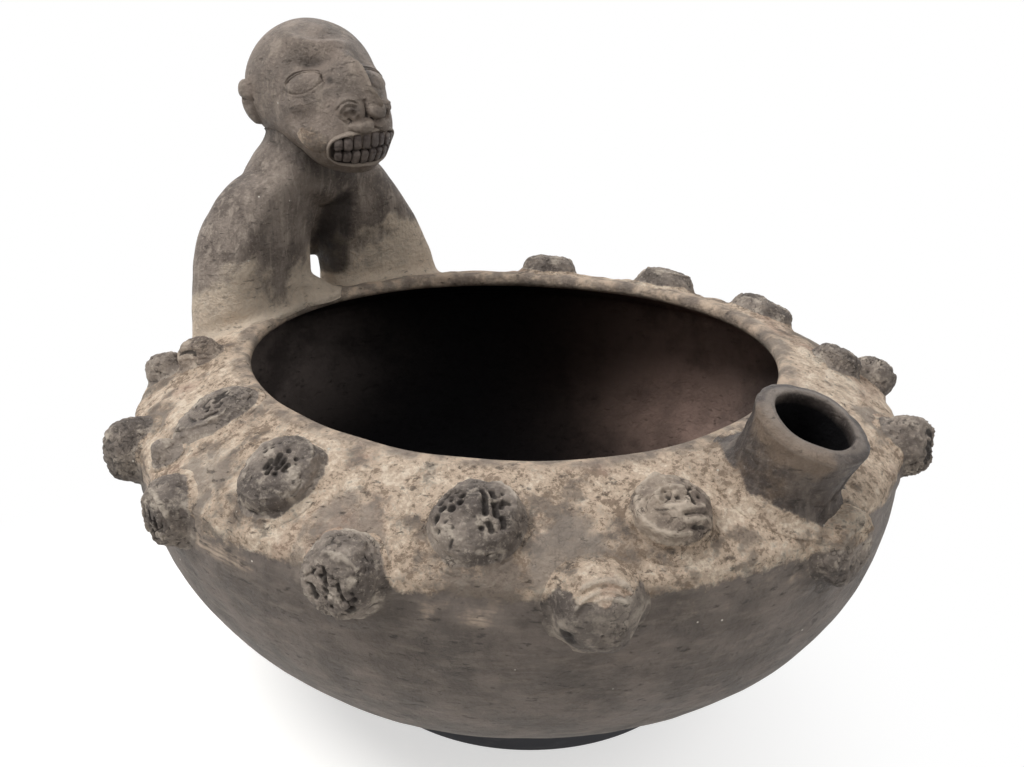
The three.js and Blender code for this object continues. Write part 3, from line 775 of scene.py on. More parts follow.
def paintSpout(piece):
    side, out = spoutFrame()[2:]
    points = (readPoints(piece) - bowlFoot) / millimetre
    gap = bowlGap(points)[0]
    along, offAxis = fromSpout(points)
    away = np.linalg.norm(offAxis, axis=1)
    outer = away > spout["outerWall"]
    leftSide = smoothStep(0.1, 0.9, unit(offAxis) @ -side)
    turned = np.arctan2(offAxis @ side, offAxis @ out)
    fromLip = bell(along + 2.6, 0.7) * (away > 22.4)
    # the warm brown on the left side is partly the clay's colour and partly painted light from the left; a
    # painted highlight runs along the lip and the collar's outer edge, and the crack gets painted shade
    paint(piece, cut=1.1 * spoutCrack(turned, along, points) * outer * smoothStep(1, 5, gap),
          shoulder=(1 - smoothStep(-2, 3 + 7 * leftSide, gap)) * outer,
          inside=(1 - smoothStep(-6, -1.5, along)) * (away < spout["outerWall"] + 0.4),
          warm=leftSide * outer * (0.5 + 0.5 * smoothStep(-16, -4, along)),
          raised=0.8 * smoothStep(-0.9, -0.1, along) + 0.6 * fromLip)


# Stages of the bowl's outline at even distances along it
def evenStages(first, last, count, offset=0.0):
    stages = np.linspace(first, last, 2000)
    points = bowlPoint(np.full(2000, 0.8), stages, offset)
    length = np.concatenate([[0], np.cumsum(np.linalg.norm(np.diff(points, axis=0), axis=1))])
    return np.interp(np.linspace(0, length[-1], count), length, stages)


# Bowl: underside, side, shoulder, lip and inside are one tube of rings from pole to pole
def makeBowl():
    split = stageAt(bowl["rimHeight"] - bowl["splitHeight"])
    under = evenStages(-1, split, bowl["undersideRings"])
    side = evenStages(split, 1, bowl["sideRings"] + 1)[1:]
    inner = evenStages(1, -1, bowl["insideRings"], -bowl["wall"])
    stages = np.concatenate([under, side])
    total = len(stages) + bowl["lipRings"] + len(inner)
    piece, azimuth, ring = spinTube("bowl_body_clay", total, bowl["around"])
    points = np.zeros((len(azimuth), 3))
    outside = ring < len(stages)
    points[outside] = bowlPoint(azimuth[outside], stages[ring[outside]])
    onLip = (ring >= len(stages)) & (ring < len(stages) + bowl["lipRings"])
    lipRadius = bowl["wall"] / 2
    bend = (ring[onLip] - len(stages)) / (bowl["lipRings"] - 1) * np.radians(bowl["lipBend"])
    radius = mouthEdge(azimuth[onLip]) + lipRadius - lipRadius * np.sin(bend)
    height = bowl["rimHeight"] - lipRadius + lipRadius * np.cos(bend)
    points[onLip] = polar(azimuth[onLip], radius, height)
    inside = ring >= len(stages) + bowl["lipRings"]
    picked = inner[ring[inside] - len(stages) - bowl["lipRings"]]
    points[inside] = bowlPoint(azimuth[inside], picked, -bowl["wall"])
    points[ring == 0] = (*footSetOver, 0)
    points[ring == total - 1] = (*footSetOver, bowl["wall"])
    skin = bowlGap(points, False)[1]
    flatUnder = smoothStep(6, 26, points[:, 2])
    bump = uneven(points) * flatUnder * np.where(inside | onLip, 0.6, 1)
    points = points + skin * bump[:, None]
    rimWave = bowl["rimWave"] * lumps(polar(azimuth, 125, 0 * azimuth), 30, 41)
    points[:, 2] += rimWave * smoothStep(148, 157, points[:, 2]) * onLip
    points = points + skin * (smears(points) * outside * flatUnder)[:, None]
    writePoints(piece, toScene(points))
    closePiece(piece)
    drillSpoutHole(piece)
    paintBowl(piece)
    return piece


# How far points are outside the nearest boss's own oval
def bossGap(points):
    nearest = np.full(len(points), farAway, float)
    for boss in bosses:
        centre, roundWay, up = bossFrame(boss)[:3]
        flat = points - centre
        half = boss["width"] / 2
        away = np.hypot(flat @ roundWay / half, flat @ up / (boss["stretch"] * half)) - 1
        nearest = np.minimum(nearest, away * half)
    return nearest


# Irregular smears of clay where each boss was luted on, and the shoulder's crumbly skin
def smears(points):
    away = bossGap(points)
    ripple = np.clip(0.25 + 1.9 * lumps(points, 11, 51), 0, 1.4)
    rise = 1.1 * bell(away - 4.0, 4.0) * ripple
    rise = rise - 0.5 * bell(away - 9, 2.5) * (1.2 - ripple)
    onShoulder = smoothStep(112, 132, points[:, 2])
    crumble = 0.5 * lumps(points, 13, 52) + 0.28 * lumps(points, 6.5, 53)
    return rise + crumble * (0.35 + 0.65 * onShoulder)


# The hole in the shoulder under the spout's bore
def drillSpoutHole(piece):
    tip, axis, side, out = spoutFrame()
    clearSelection()
    bpy.ops.mesh.primitive_cylinder_add(vertices=72, radius=1, depth=1)
    drill = startPiece("drill")
    local = readPoints(drill)
    radius = spout["boreRadius"] - 0.1
    points = tip + (local[:, 2:] * 60 - 42) * axis
    points = points + radius * (local[:, :1] * out + local[:, 1:2] * side)
    writePoints(drill, toScene(points))
    cleanMesh(drill)
    applyModifier(piece, "BOOLEAN", operation="DIFFERENCE", object=drill, solver="EXACT")
    bpy.data.objects.remove(drill)


def paintBowl(piece):
    points = (readPoints(piece) - bowlFoot) / millimetre
    inside = 1 - smoothStep(-5.6, -3.4, bowlGap(points)[0])
    x, y, z = points.T
    radius, azimuth = np.hypot(x, y), np.arctan2(y, x)
    edge = mouthEdge(azimuth)
    lip = smoothStep(148, 154, z) * (1 - smoothStep(edge + 6.5, edge + 11, radius))
    azimuth = np.degrees(azimuth)
    ash = bell(turnFrom(azimuth, 186), 20) * smoothStep(50, 105, z)
    ash = ash + bell(turnFrom(azimuth, 45), 30) * smoothStep(25, 95, radius)
    # the burnt patch round the spout's foot reaches further on the side towards the photograph
    inFront = np.clip(unit(points - spoutFrame()[0]) @ np.array([0.85, -0.5, 0]), 0, 1)
    offSpout = np.linalg.norm(fromSpout(points)[1], axis=1)
    # brown is painted light on the far inside wall, in a brown tint
    paint(piece, inside=inside * (1 - lip), lip=lip, ash=ash,
          brown=1.2 * bell(turnFrom(azimuth, 84), 23) * smoothStep(15, 70, z),
          dark=1 - smoothStep(-1, 8, bossGap(points)),
          tubeFoot=1 - smoothStep(23 + 3 * inFront, 26 + 13 * inFront, offSpout),
          shoulder=smoothStep(114, 140, z))


# Figure: flattened ovals bent round with the rim. Each row is height over the rim, turn from the
# figure's own plane in degrees, distance in from the shoulder's middle, half width and half depth.
figure = {
    "azimuth": 177.5,
    "rightArm": [(-26, 16.7, 1.5, 41, 22.5), (-8, 16.9, 2.5, 40, 22.5), (12, 16.9, 3.5, 38.6, 22),
                 (30, 16.2, 4.5, 37.2, 21.5), (44, 14.1, 6, 35.4, 21), (55, 12.4, 8, 31.5, 20),
                 (64, 10.5, 10, 27, 18), (71, 7.5, 11.5, 17, 13)],
    "leftArm": [(-26, -16.3, 3.5, 37, 19), (-8, -15.8, 4.5, 36, 18.5), (12, -14.5, 6, 33, 18),
                (30, -12.6, 7.5, 30, 18), (44, -10.6, 9, 26, 18.5), (55, -9.2, 10, 22, 18.5),
                (64, -8, 10.5, 18, 16), (71, -6.5, 11.5, 12.5, 11)],
    "bust": [(47, -1.5, 10.5, 12, 10), (51, -1, 10, 27, 17), (58, 0.5, 9.5, 38, 21.5),
             (66, 1, 9.5, 39, 23), (75, 0.8, 10, 32.5, 22), (84, 0.2, 11.5, 25.5, 20),
             (96, -0.4, 14.5, 23.5, 21), (104, -0.5, 16, 21, 18)],
    "backWeb": [(13, -2.5, -6, 5, 3), (18, -2.5, -5, 13, 6.5), (30, -2, -2, 18, 10.5),
                (46, -1.5, 2, 20, 15), (58, -1, 6, 20, 16)],
    "toe": [(-20, 5.5, 12, 17, 15), (-4, 5.5, 13, 17, 15), (4, 6.6, 14, 14, 13), (11, 9, 15, 9, 10),
            (18, 11, 16, 3, 4)],
    "square": 0.82,
    "ringsPerRow": 6,
    "segments": 64,
    "voxel": 1.15,
    "footFillet": 5,
    "neckFillet": 1.6,
    "sunk": 3,
}
figureAzimuth = math.radians(figure["azimuth"])


# Radius of the shoulder's middle where the figure stands
def figureReach():
    rim, belly = shoulderEdges(np.array([figureAzimuth]))
    return float((rim + belly)[0] / 2)


# Smooth rows through the given ones
def fillRows(rows, steps):
    rows = np.array(rows, float)
    padded = np.concatenate([rows[:1], rows, rows[-1:]])
    made = []
    for i in range(len(rows) - 1):
        before, start, end, after = padded[i:i + 4]
        for share in np.arange(steps) / steps:
            slopeA, slopeB = (end - before) / 2, (after - start) / 2
            cube, square = share ** 3, share ** 2
            made.append((2 * cube - 3 * square + 1) * start + (cube - 2 * square + share) * slopeA
                        + (3 * square - 2 * cube) * end + (cube - square) * slopeB)
    return np.array(made + [rows[-1]])


# A limb is a closed tube through the rows, bent round with the rim
def makeLimb(name, rows):
    rows = fillRows(rows, figure["ringsPerRow"])
    total = len(rows) + 2
    piece, angle, ring = spinTube(name, total, figure["segments"])
    picked = rows[np.clip(ring - 1, 0, len(rows) - 1)]
    height, turn, inward, halfWidth, halfDepth = picked.T
    closed = (ring == 0) | (ring == total - 1)
    halfWidth, halfDepth = np.where(closed, 0, halfWidth), np.where(closed, 0, halfDepth)
    height = height + np.where(ring == 0, -1, 0) + np.where(ring == total - 1, 1, 0)
    reach = figureReach() - inward
    across = squared(np.cos(angle), figure["square"])
    through = squared(np.sin(angle), figure["square"])
    azimuth = figureAzimuth + np.radians(turn) + halfWidth * across / reach
    points = polar(azimuth, reach + halfDepth * through, bowl["rimHeight"] + height)
    writePoints(piece, points * millimetre)
    closePiece(piece)
    return piece


# Head: skull, face and muzzle blended into one skin round the head's middle. Each mass is its middle
# forward and up, then half its length, width and height. Hollows, swells and shade are places on the
# head: turn and rise in degrees, how wide and tall in degrees, and how deep, in millimetres for form.
head = {
    "overhang": 22.5,
    "height": 261,
    "turn": -10,
    "masses": [(-13.5, 6, 35.5, 34.0, 33.5), (8.5, -1, 30, 28.5, 29), (22.5, -12, 21.5, 24, 21.5)],
    "segments": 230,
    "rings": 150,
    "hollows": [(-42, 43, 23, 9, 4.8), (28, 38, 16, 12, 3.2), (-34, -7, 14, 9, 1.9),
                (-100, 12, 12, 22, 1.1), (-24, 24, 7, 12, 2.8), (35, 74, 40, 12, 1.3)],
    "swells": [(-50, 61, 28, 6, 3.2), (12, 60, 18, 7, 1.4), (-54, 2, 16, 6, 1.6),
               (-38, -23, 13, 8, 1.6), (3, 46, 7, 12, 2.2), (20, -46, 18, 9, 3.2)],
    "shade": [(-42, 46, 21, 8, 0.6), (14, 28, 6, 14, 0.8), (30, 34, 12, 11, 0.55), (-21, 24, 4, 5, 0.7),
              (-70, 30, 12, 14, 0.3), (10, 78, 60, 12, 0.32), (-9, 1, 7, 5, 0.5), (14, -3, 9, 5, 0.5),
              (-46, 10, 15, 3, 0.35)],
    "blend": 12,
}
faceForward = -polar(np.array(figureAzimuth + math.radians(head["turn"])), 1.0, np.array(0.0))
faceLeft = np.array([-faceForward[1], faceForward[0], 0])
faceWays = np.stack([faceForward, faceLeft, np.array([0, 0, 1.0])])


def headMiddle():
    reach = figureReach() - head["overhang"]
    return np.array([reach * math.cos(figureAzimuth), reach * math.sin(figureAzimuth), head["height"]])


# Distance from the head's middle to the blended skin of its masses
def headReach(direction):
    total = 0
    for forward, up, length, width, height in head["masses"]:
        sizes, middle = np.array([length, width, height]), np.array([forward, 0, up])
        a = ((direction / sizes) ** 2).sum(-1)
        b = -2 * (direction * middle / sizes ** 2).sum(-1)
        c = ((middle / sizes) ** 2).sum() - 1
        outer = (-b + np.sqrt(np.maximum(b * b - 4 * a * c, 0))) / (2 * a)
        total = total + outer ** head["blend"]
    return total ** (1 / head["blend"])


def headDirection(turn, rise):
    turn, rise = np.radians(turn), np.radians(rise)
    return np.stack([np.cos(rise) * np.cos(turn), np.cos(rise) * np.sin(turn), np.sin(rise)], -1)


# The sum of one list of the head's places, over turn and rise in degrees
def headPlaces(kind, turn, rise):
    total = np.zeros_like(turn)
    for atTurn, atRise, wide, tall, deep in head[kind]:
        offTurn = turnFrom(turn, atTurn) * np.cos(np.radians(rise))
        total += deep * bell(offTurn, wide) * bell(rise - atRise, tall)
    return total


# Points lifted off the head's skin, which has its hollows, swells and a little unevenness
def headSkin(turn, rise, lift):
    direction = headDirection(turn, rise)
    form = headPlaces("swells", turn, rise) - headPlaces("hollows", turn, rise)
    reach = headReach(direction) + form + lift + 0.35 * lumps(direction * 36, 17, 61)
    return headMiddle() + (direction * reach[:, None]) @ faceWays


# How far points are outside the head's masses
def headGap(points):
    local = (points - headMiddle()) @ faceWays.T
    length = np.maximum(np.linalg.norm(local, axis=1), 1e-6)
    return length - headReach(local / length[:, None])


# Figure: both arms, the web between them, the toe and the bust grown together into one skin
def makeFigure():
    limbs = [makeLimb(part, figure[part]) for part in ("rightArm", "leftArm", "backWeb", "toe")]
    piece = makeLimb("figure_clay", figure["bust"])
    onlySelect(piece)
    for limb in limbs:
        limb.select_set(True)
    bpy.ops.object.join()
    applyModifier(piece, "REMESH", mode="VOXEL", voxel_size=figure["voxel"] * millimetre)
    applyModifier(piece, "SMOOTH", factor=0.5, iterations=14)
    points = readPoints(piece) / millimetre
    normals = np.empty(len(points) * 3)
    piece.data.vertices.foreach_get("normal", normals)
    normals = normals.reshape(-1, 3)
    azimuth = np.arctan2(points[:, 1], points[:, 0])
    sunk = shoulderRise(azimuth, np.hypot(points[:, 0], points[:, 1])) - figure["sunk"]
    points[:, 2] = np.maximum(points[:, 2], sunk)
    handmade = 0.8 * lumps(points, 26, 71) + 0.35 * lumps(points, 9, 72)
    gap, skin = bowlGap(points)
    points = points + normals * (handmade * smoothStep(2, 10, gap))[:, None]
    points = points + alongSkin(normals, skin) * fillet(gap, figure["footFillet"])[:, None]
    toHead = headGap(points)
    level = unit(normals * np.array([1, 1, 0.0]))
    points = points + level * (fillet(toHead, figure["neckFillet"]) * (toHead > 0))[:, None]
    writePoints(piece, toScene(points))
    ragged = gap + 15 * lumps(points, 26, 73) + 9 * lumps(points, 9, 74)
    over = points[:, 2] - bowl["rimHeight"]
    # painted shade in the crevice between the arms and under the chin
    creviceShade = bell(turnFrom(np.degrees(azimuth), figure["azimuth"] - 2.5), 2.8)
    creviceShade = creviceShade * smoothStep(1, 9, over) * smoothStep(60, 48, over)
    underChinShade = 0.5 * bell(np.clip(toHead, 0, None), 15)
    paint(piece, shoulder=1 - smoothStep(-4, 44, ragged), cut=1.2 * creviceShade + underChinShade)
    closePiece(piece)
    return piece


# Face pieces: each is a ball flattened on to the head, its crown in the middle of its own oval. Their
# heights are drawn in a plane of millimetres. The eye's folds are rise, distance out from the edge of
# the opening and width; its corners are pits.
eye = {
    "half": 13.6,
    "top": 6.8,
    "bottom": 5.2,
    "ball": 1.5,
    "narrowest": 0.15,
    "upperFolds": [(0.85, 0.9, 0.8), (-0.25, -0.3, 0.4), (0.7, 3.2, 0.7), (0.4, 5.4, 0.8),
                   (-0.55, 2.1, 0.45)],
    "lowerFolds": [(0.35, 0.9, 0.9), (-0.2, -0.2, 0.45)],
    "pits": [(13.0, 0.8, 1.4, 3.4), (14.7, 2.2, 1.1, 2.8), (13.4, -1.4, 1.1, 2.8), (15.0, 0.2, 1.0, 2.4),
             (-13.6, -0.5, 0.9, 0.7)],
}


def eyeHeight(u, v):
    share = u / eye["half"]
    opening = np.clip(1 - share ** 2, 0, 1)
    upper, lower = eye["top"] * opening ** 0.75, eye["bottom"] * opening
    fromLine = np.abs(v) / np.maximum(np.where(v > 0, upper, lower), eye["narrowest"])
    ball = eye["ball"] * np.sqrt(np.clip(1 - fromLine ** 2, 0, 1)) * (1 - 0.6 * share ** 2)
    height = ball * (1 - 0.35 * smoothStep(-2, 6, u - 1.5 * v))
    for rise, out, width in eye["upperFolds"]:
        height = height + rise * bell(v - upper - out, width)
    for rise, out, width in eye["lowerFolds"]:
        height = height + rise * bell(v + lower + out, width)
    return height * smoothStep(eye["half"], eye["half"] - 3, np.abs(u)) + marksHeight(eye, u, v)


def dome(u, v, wide, tall, rise):
    return rise * np.sqrt(np.clip(1 - (u / wide) ** 2 - (v / tall) ** 2, 0, 1))


# Domes are their middle, half width and height in the plane, and rise: bulb, wings, and two lobes
# over the teeth
nose = {
    "ridge": 7.6,
    "domes": [(4.8, -8.2, 6.2, 4.4, 4.8), (-8.6, -6.6, 7.0, 6.6, 3.6), (12.2, -8.6, 4.8, 5.2, 3.6),
              (-4.2, -14.2, 6.4, 3.2, 3.2), (7.2, -15.2, 5.4, 3.1, 3.0)],
    "arcs": [(-9.6, -9.4, 6.0, 6.4, 45, 185, 0.5, 0.7), (-9.6, -9.4, 4.4, 4.8, 45, 185, 0.45, 0.8),
             (-9.6, -9.4, 5.2, 5.6, 45, 185, 0.4, -0.8), (-9.6, -9.8, 3.6, 3.9, 40, 190, 0.45, -0.9),
             (12.6, -10.4, 3.6, 4.0, -20, 130, 0.45, 0.7)],
    "pits": [(-11.2, -9.6, 1.4, 2.8), (-8.2, -9.0, 1.3, 2.8), (-9.6, -11.8, 1.5, 3.0),
             (-6.4, -11.2, 1.2, 2.4), (9.4, -11.0, 1.4, 2.8), (13.0, -11.4, 1.3, 2.6)],
    "cuts": [(-1.2, -4.5, -1.6, -11, 0.7, 1.5), (8.4, -6, 8.2, -12, 0.7, 1.4),
             (-10, -12.4, 0.8, -12, 0.5, 1.0), (1.2, -12.8, 1.4, -17, 0.6, 1.2)],
}


def noseHeight(u, v):
    # the ridge runs down from between the brows to the bulb
    ridgeAt = 1.9 - 0.105 * (v + 4) + 2.6 * smoothStep(2, -7, v)
    steep = np.where(u > ridgeAt, 1.0, 2.4) + 1.2 * smoothStep(3, -7, v)
    ridge = nose["ridge"] * np.exp(-(np.abs(u - ridgeAt) / steep) ** 1.1)
    parts = [ridge * smoothStep(25, 9, v) * smoothStep(-11, -5, v)]
    parts += [dome(u - x, v - y, wide, tall, rise) for x, y, wide, tall, rise in nose["domes"]]
    return np.maximum.reduce(parts) + marksHeight(nose, u, v)


ear = {"cuts": [(-1.5, 0.8, 4.5, 1.4, 0.8, 1.5)], "pits": [(2.0, -1.4, 1.5, 2.2)]}


def earHeight(u, v):
    knob = dome(u, v - 4.6, 5.6, 5.8, 4.8)
    lobe = dome(u + 0.6, v + 3.6, 5.0, 11.0, 4.2)
    return np.maximum(knob, lobe) + marksHeight(ear, u, v)


# Turn and rise of the middle, tilt in degrees, then half sizes in millimetres
facePieces = {
    "right_eye": {"at": (-46, 20.5), "tilt": 17, "half": (17, 12.5), "height": eyeHeight, "mirror": 1},
    "left_eye": {"at": (27, 19), "tilt": -14, "half": (17, 12.5), "height": eyeHeight, "mirror": -1},
    "right_ear": {"at": (-121, -1), "tilt": 0, "half": (7.5, 15), "height": earHeight, "mirror": 1},
    "left_ear": {"at": (111, -1), "tilt": 0, "half": (7.5, 15), "height": earHeight, "mirror": -1},
    "nose": {"at": (4, 12), "tilt": 0, "half": (18, 25), "height": noseHeight, "mirror": 1},
}
# a degree of the head is this many millimetres, and topShare of a ball's rings are its outer side
faceMaking = {"degree": 0.66, "segments": 168, "rings": 104, "topShare": 0.84, "hollow": 2.8}


# A flat turn through an angle in degrees
def rotated(u, v, degrees):
    cosine, sine = math.cos(math.radians(degrees)), math.sin(math.radians(degrees))
    return u * cosine - v * sine, u * sine + v * cosine


def makeFacePiece(name, place):
    piece, angle, share = startBall(name + "_clay", faceMaking)
    top = faceMaking["topShare"]
    reach = np.where(share < top, share / top, (1 - share) / (1 - top))
    halfU, halfV = place["half"]
    u, v = halfU * reach * np.cos(angle), halfV * reach * np.sin(angle)
    edge = 1 - smoothStep(0.8, 0.97, reach)
    height = place["height"](u * place["mirror"], v) * edge
    lift = height + 0.08 - 0.8 * smoothStep(0.9, 1, reach)
    lift = lift + 0.12 * lumps(np.stack([u, v, 0 * u], -1), 2.6, 81) * edge
    lift = np.where(share < top, lift, -0.72 - 3.0 * smoothStep(1, 0.9, reach))
    across, along = rotated(u, v, place["tilt"])
    rise = place["at"][1] + along / faceMaking["degree"]
    turn = place["at"][0] + across / faceMaking["degree"] / math.cos(math.radians(place["at"][1]))
    writePoints(piece, toScene(headSkin(turn, rise, lift)))
    # painted shade in what is sunk and at the head's shade places, and a painted highlight on what stands
    # out, strongest along the nose's crest
    paint(piece, cut=np.clip(-height, 0, 2) * (share < top) + headPlaces("shade", turn, rise),
          raised=np.clip(height - 0.6, 0, 2) * 0.2 + 0.7 * smoothStep(5.2, 6.8, height))
    closePiece(piece)
    return piece


# Mouth: a squarish oval of turn and rise in degrees that sags to its corners. The teeth fill it up to
# toothReach of the oval from a gap between the rows, and its cave is sunk in millimetres.
mouth = {
    "at": (3, -24.8),
    "halfTurn": 29.5,
    "halfRise": 11.7,
    "sag": 2.0,
    "square": 2.9,
    "lip": 0.9,
    "ring": 0.25,
    "teeth": 8,
    "toothReach": 0.86,
    "toothGap": 0.06,
    "toothSoft": 0.58,
    "cave": 2.6,
}


# Turn and rise on the head, where the mouth's own oval is the unit circle
def mouthAngles(across, along):
    turn = mouth["at"][0] + mouth["halfTurn"] * across
    return turn, mouth["at"][1] + mouth["halfRise"] * along - mouth["sag"] * across ** 2


def makeLips():
    clearSelection()
    bpy.ops.mesh.primitive_torus_add(
        major_segments=200, minor_segments=28, major_radius=1, minor_radius=mouth["ring"])
    piece = startPiece("lips_clay")
    x, y, z = readPoints(piece).T
    around = np.arctan2(y, x)
    cosine, sine = np.cos(around), np.sin(around)
    out, up = (np.hypot(x, y) - 1) / mouth["ring"], z / mouth["ring"]
    wave = 1 + 0.22 * lumps(np.stack([cosine, sine, 0 * up], -1), 0.45, 83)
    thick = mouth["lip"] * wave * (0.5 + 0.55 * np.abs(sine))
    wide = thick * out / faceMaking["degree"]
    power = 2 / mouth["square"]
    turn, rise = mouthAngles(squared(cosine, power), squared(sine, power))
    turn = turn + wide * cosine / 0.85
    rise = rise + wide * sine
    lift = np.where(up > 0, up * thick * 1.5 + 0.3, up * 1.6)
    writePoints(piece, toScene(headSkin(turn, rise, lift)))
    # a painted highlight on the lip's upper side and painted shade on its inner lower side
    paint(piece, raised=np.clip(up, 0, 1),
          cut=smoothStep(-0.2, -0.9, out) * smoothStep(0.5, -0.4, up))
    closePiece(piece)
    return piece


# One tooth is a bevelled block; a row is that tooth copied along the gum and joined
def makeTeeth(name, side):
    clearSelection()
    bpy.ops.mesh.primitive_cube_add(size=2)
    piece = startPiece(name + "_clay")
    applyModifier(piece, "BEVEL", width=mouth["toothSoft"], segments=4)
    block = readPoints(piece)
    dice = np.random.default_rng(7 if side > 0 else 11)
    copies = [piece]
    for _ in range(mouth["teeth"] - 1):
        copy = piece.copy()
        copy.data = piece.data.copy()
        bpy.context.collection.objects.link(copy)
        copies.append(copy)
    reach, gap, power = mouth["toothReach"], mouth["toothGap"], mouth["square"]
    span = 2 * reach / mouth["teeth"]
    for i, tooth in enumerate(copies):
        middle = -reach + span * (i + 0.5)
        tall = reach * (1 - abs(middle) ** power) ** (1 / power) * dice.uniform(0.88, 1.04)
        across = middle + block[:, 0] * span * 0.5 * dice.uniform(0.82, 0.94)
        along = side * (gap + (block[:, 1] * 0.5 + 0.5) * (tall - gap)) + dice.uniform(-0.03, 0.03)
        turn, rise = mouthAngles(across, along)
        lift = block[:, 2] * 1.9 - 0.5 + dice.uniform(-0.25, 0.25)
        lift = lift + 0.12 * lumps(block * 3 + i, 1.6, 85)
        writePoints(tooth, toScene(headSkin(turn, rise, lift)))
    onlySelect(piece)
    for tooth in copies:
        tooth.select_set(True)
    bpy.ops.object.join()
    closePiece(piece)
    return piece


# The head's own skin is sunk under the face pieces and into the mouth
def makeHead():
    piece, angle, share = startBall("head_clay", head)
    turn, rise = np.degrees(angle), 90 - 180 * share
    sink = np.zeros(len(turn))
    for place in facePieces.values():
        offTurn = turnFrom(turn, place["at"][0]) * math.cos(math.radians(place["at"][1]))
        across, along = offTurn * faceMaking["degree"], (rise - place["at"][1]) * faceMaking["degree"]
        u, v = rotated(across, along, -place["tilt"])
        reach = np.hypot(u / place["half"][0], v / place["half"][1])
        sink = np.maximum(sink, faceMaking["hollow"] * (1 - smoothStep(0.55, 0.84, reach)))
    across = (turn - mouth["at"][0]) / mouth["halfTurn"]
    along = (rise - mouth["at"][1] + mouth["sag"] * across ** 2) / mouth["halfRise"]
    power = mouth["square"]
    fromMiddle = (np.abs(across) ** power + np.abs(along) ** power) ** (1 / power)
    cave = 1 - smoothStep(0.8, 1.0, fromMiddle)
    writePoints(piece, toScene(headSkin(turn, rise, -np.maximum(sink, mouth["cave"] * cave))))
    jaw = bell(turn + 39, 14) * bell(rise + 22, 9)
    # painted shade in the mouth's cave and at the head's shade places
    paint(piece, cut=2 * cave + headPlaces("shade", turn, rise), shoulder=1.1 * jaw)
    closePiece(piece)
    return piece


# Ring stand: a turned ring, its top bevelled to the bowl's underside
ringStand = {
    "outside": 90,
    "inside": 78,
    "top": 87,
    "seatGap": 0.3,
    "seatSteps": 5,
    "sole": [82, 86],
    "soft": 0.9,
    "segments": 180,
}


def makeRing():
    low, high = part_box("stand_ring")
    tall = (high.z - low.z) / millimetre
    lift = bowlFoot[2] / millimetre
    seats = []
    full = bowl["bellyFullness"]
    for radius in np.linspace(ringStand["inside"], ringStand["top"], ringStand["seatSteps"]):
        rise = bellyHeight * (1 - (1 - (radius / bowl["bellyRadius"]) ** full) ** (1 / full))
        seats.append((radius, lift + rise - ringStand["seatGap"]))
    lean = ringStand["outside"] - ringStand["top"]
    profile = [(ringStand["outside"] - lean * s, tall * s) for s in (0.0, 0.3, 0.6, 0.85)]
    profile += seats[::-1] + [(ringStand["inside"], seats[0][1] * s) for s in (0.8, 0.4, 0.0)]
    profile += [(radius, 0) for radius in ringStand["sole"]]
    piece, angle, ring = spinTube("stand_ring_turned", len(profile) + 1, ringStand["segments"])
    picked = np.array(profile + profile[:1])[ring]
    points = polar(angle, picked[:, 0], picked[:, 1])
    writePoints(piece, points * millimetre + np.array([*ringMiddle, 0]))
    closePiece(piece)
    applyModifier(piece, "BEVEL", width=ringStand["soft"] * millimetre, segments=3, limit_method="ANGLE",
                  angle_limit=math.radians(35))
    onlySelect(piece)
    bpy.ops.object.shade_smooth_by_angle(angle=math.radians(40))
    return piece


# Short torn marks that run round the bowl: 1 in a mark
def tornMarks(s, scale, share, at):
    return s.patches(share, share + 0.05, scale, 5, 0.68, vector=s.stretched((1, 1, 3.2)), at=at)


# Fine winding cracks: 1 in a crack
def hairCracks(s, scale, width, at):
    away = s.maths("ABSOLUTE", s.noise(scale, 3, 0.6, at=at) - 0.5, 0)
    return (1 - s.step(away, width * 0.4, width)) * s.patches(0.50, 0.56, scale * 0.35, 2, at=at + 1)


# The clay in its two finishes: the shoulder was slipped pale, the belly and what stands on it is dark
paleClay = {
    "cream": "#f5e3cd",
    "tan": "#d8c1aa",
    "brown": "#9a8673",
    "grey": "#695f57",
    "rose": "#ba9a88",
}
toneParts = ("dark", "middle", "light", "torn", "stretch", "scale", "streaks", "crumbs", "cracks", "rough")
toneRows = {
    "belly": ("#5a514a", "#766b63", "#8f8378", 0.6, (1, 1, 4), 60, 0.35, 0.14, 0.2, 0.58),
    "boss": ("#5a514b", "#978b80", "#d8cab9", 0.6, (1, 1, 1), 130, 0.55, 0.34, 0.6, 0.66),
    "pale": ("#75685e", "#aa9a8a", "#dccbb8", 0.6, (1, 1, 1), 130, 0.6, 0.5, 0.6, 0.68),
    "spout": ("#3f3733", "#5b514b", "#968a7f", 0.5, (1, 1, 0.35), 90, 0.5, 0.4, 0.1, 0.5),
    "figure": ("#62574f", "#978a7f", "#bcaea0", 0.4, (1, 1, 0.12), 260, 0.5, 0.45, 0.0, 0.58),
    "head": ("#6f645b", "#8c7e73", "#ab9d8f", 0.25, (1, 1, 0.4), 150, 0.5, 0.4, 0.0, 0.55),
    "teeth": ("#544a46", "#776c65", "#9c8f86", 0.3, (1, 1, 1), 200, 0.4, 0.2, 0.0, 0.5),
}
tones = {name: dict(zip(toneParts, row)) for name, row in toneRows.items()}
soot = {"black": "#080709", "brown": "#a0867a", "ash": "#7c716c"}
# colours inside cuts and pits, where the cut colour is also painted shade, of specks, of the lip and of
# the greyer lowest part of the belly
details = {"cut": "#241e1c", "pit": "#3a322d", "speck": "#e6dfd3", "lip": "#85796f", "bottomGrey": "#6b6558"}


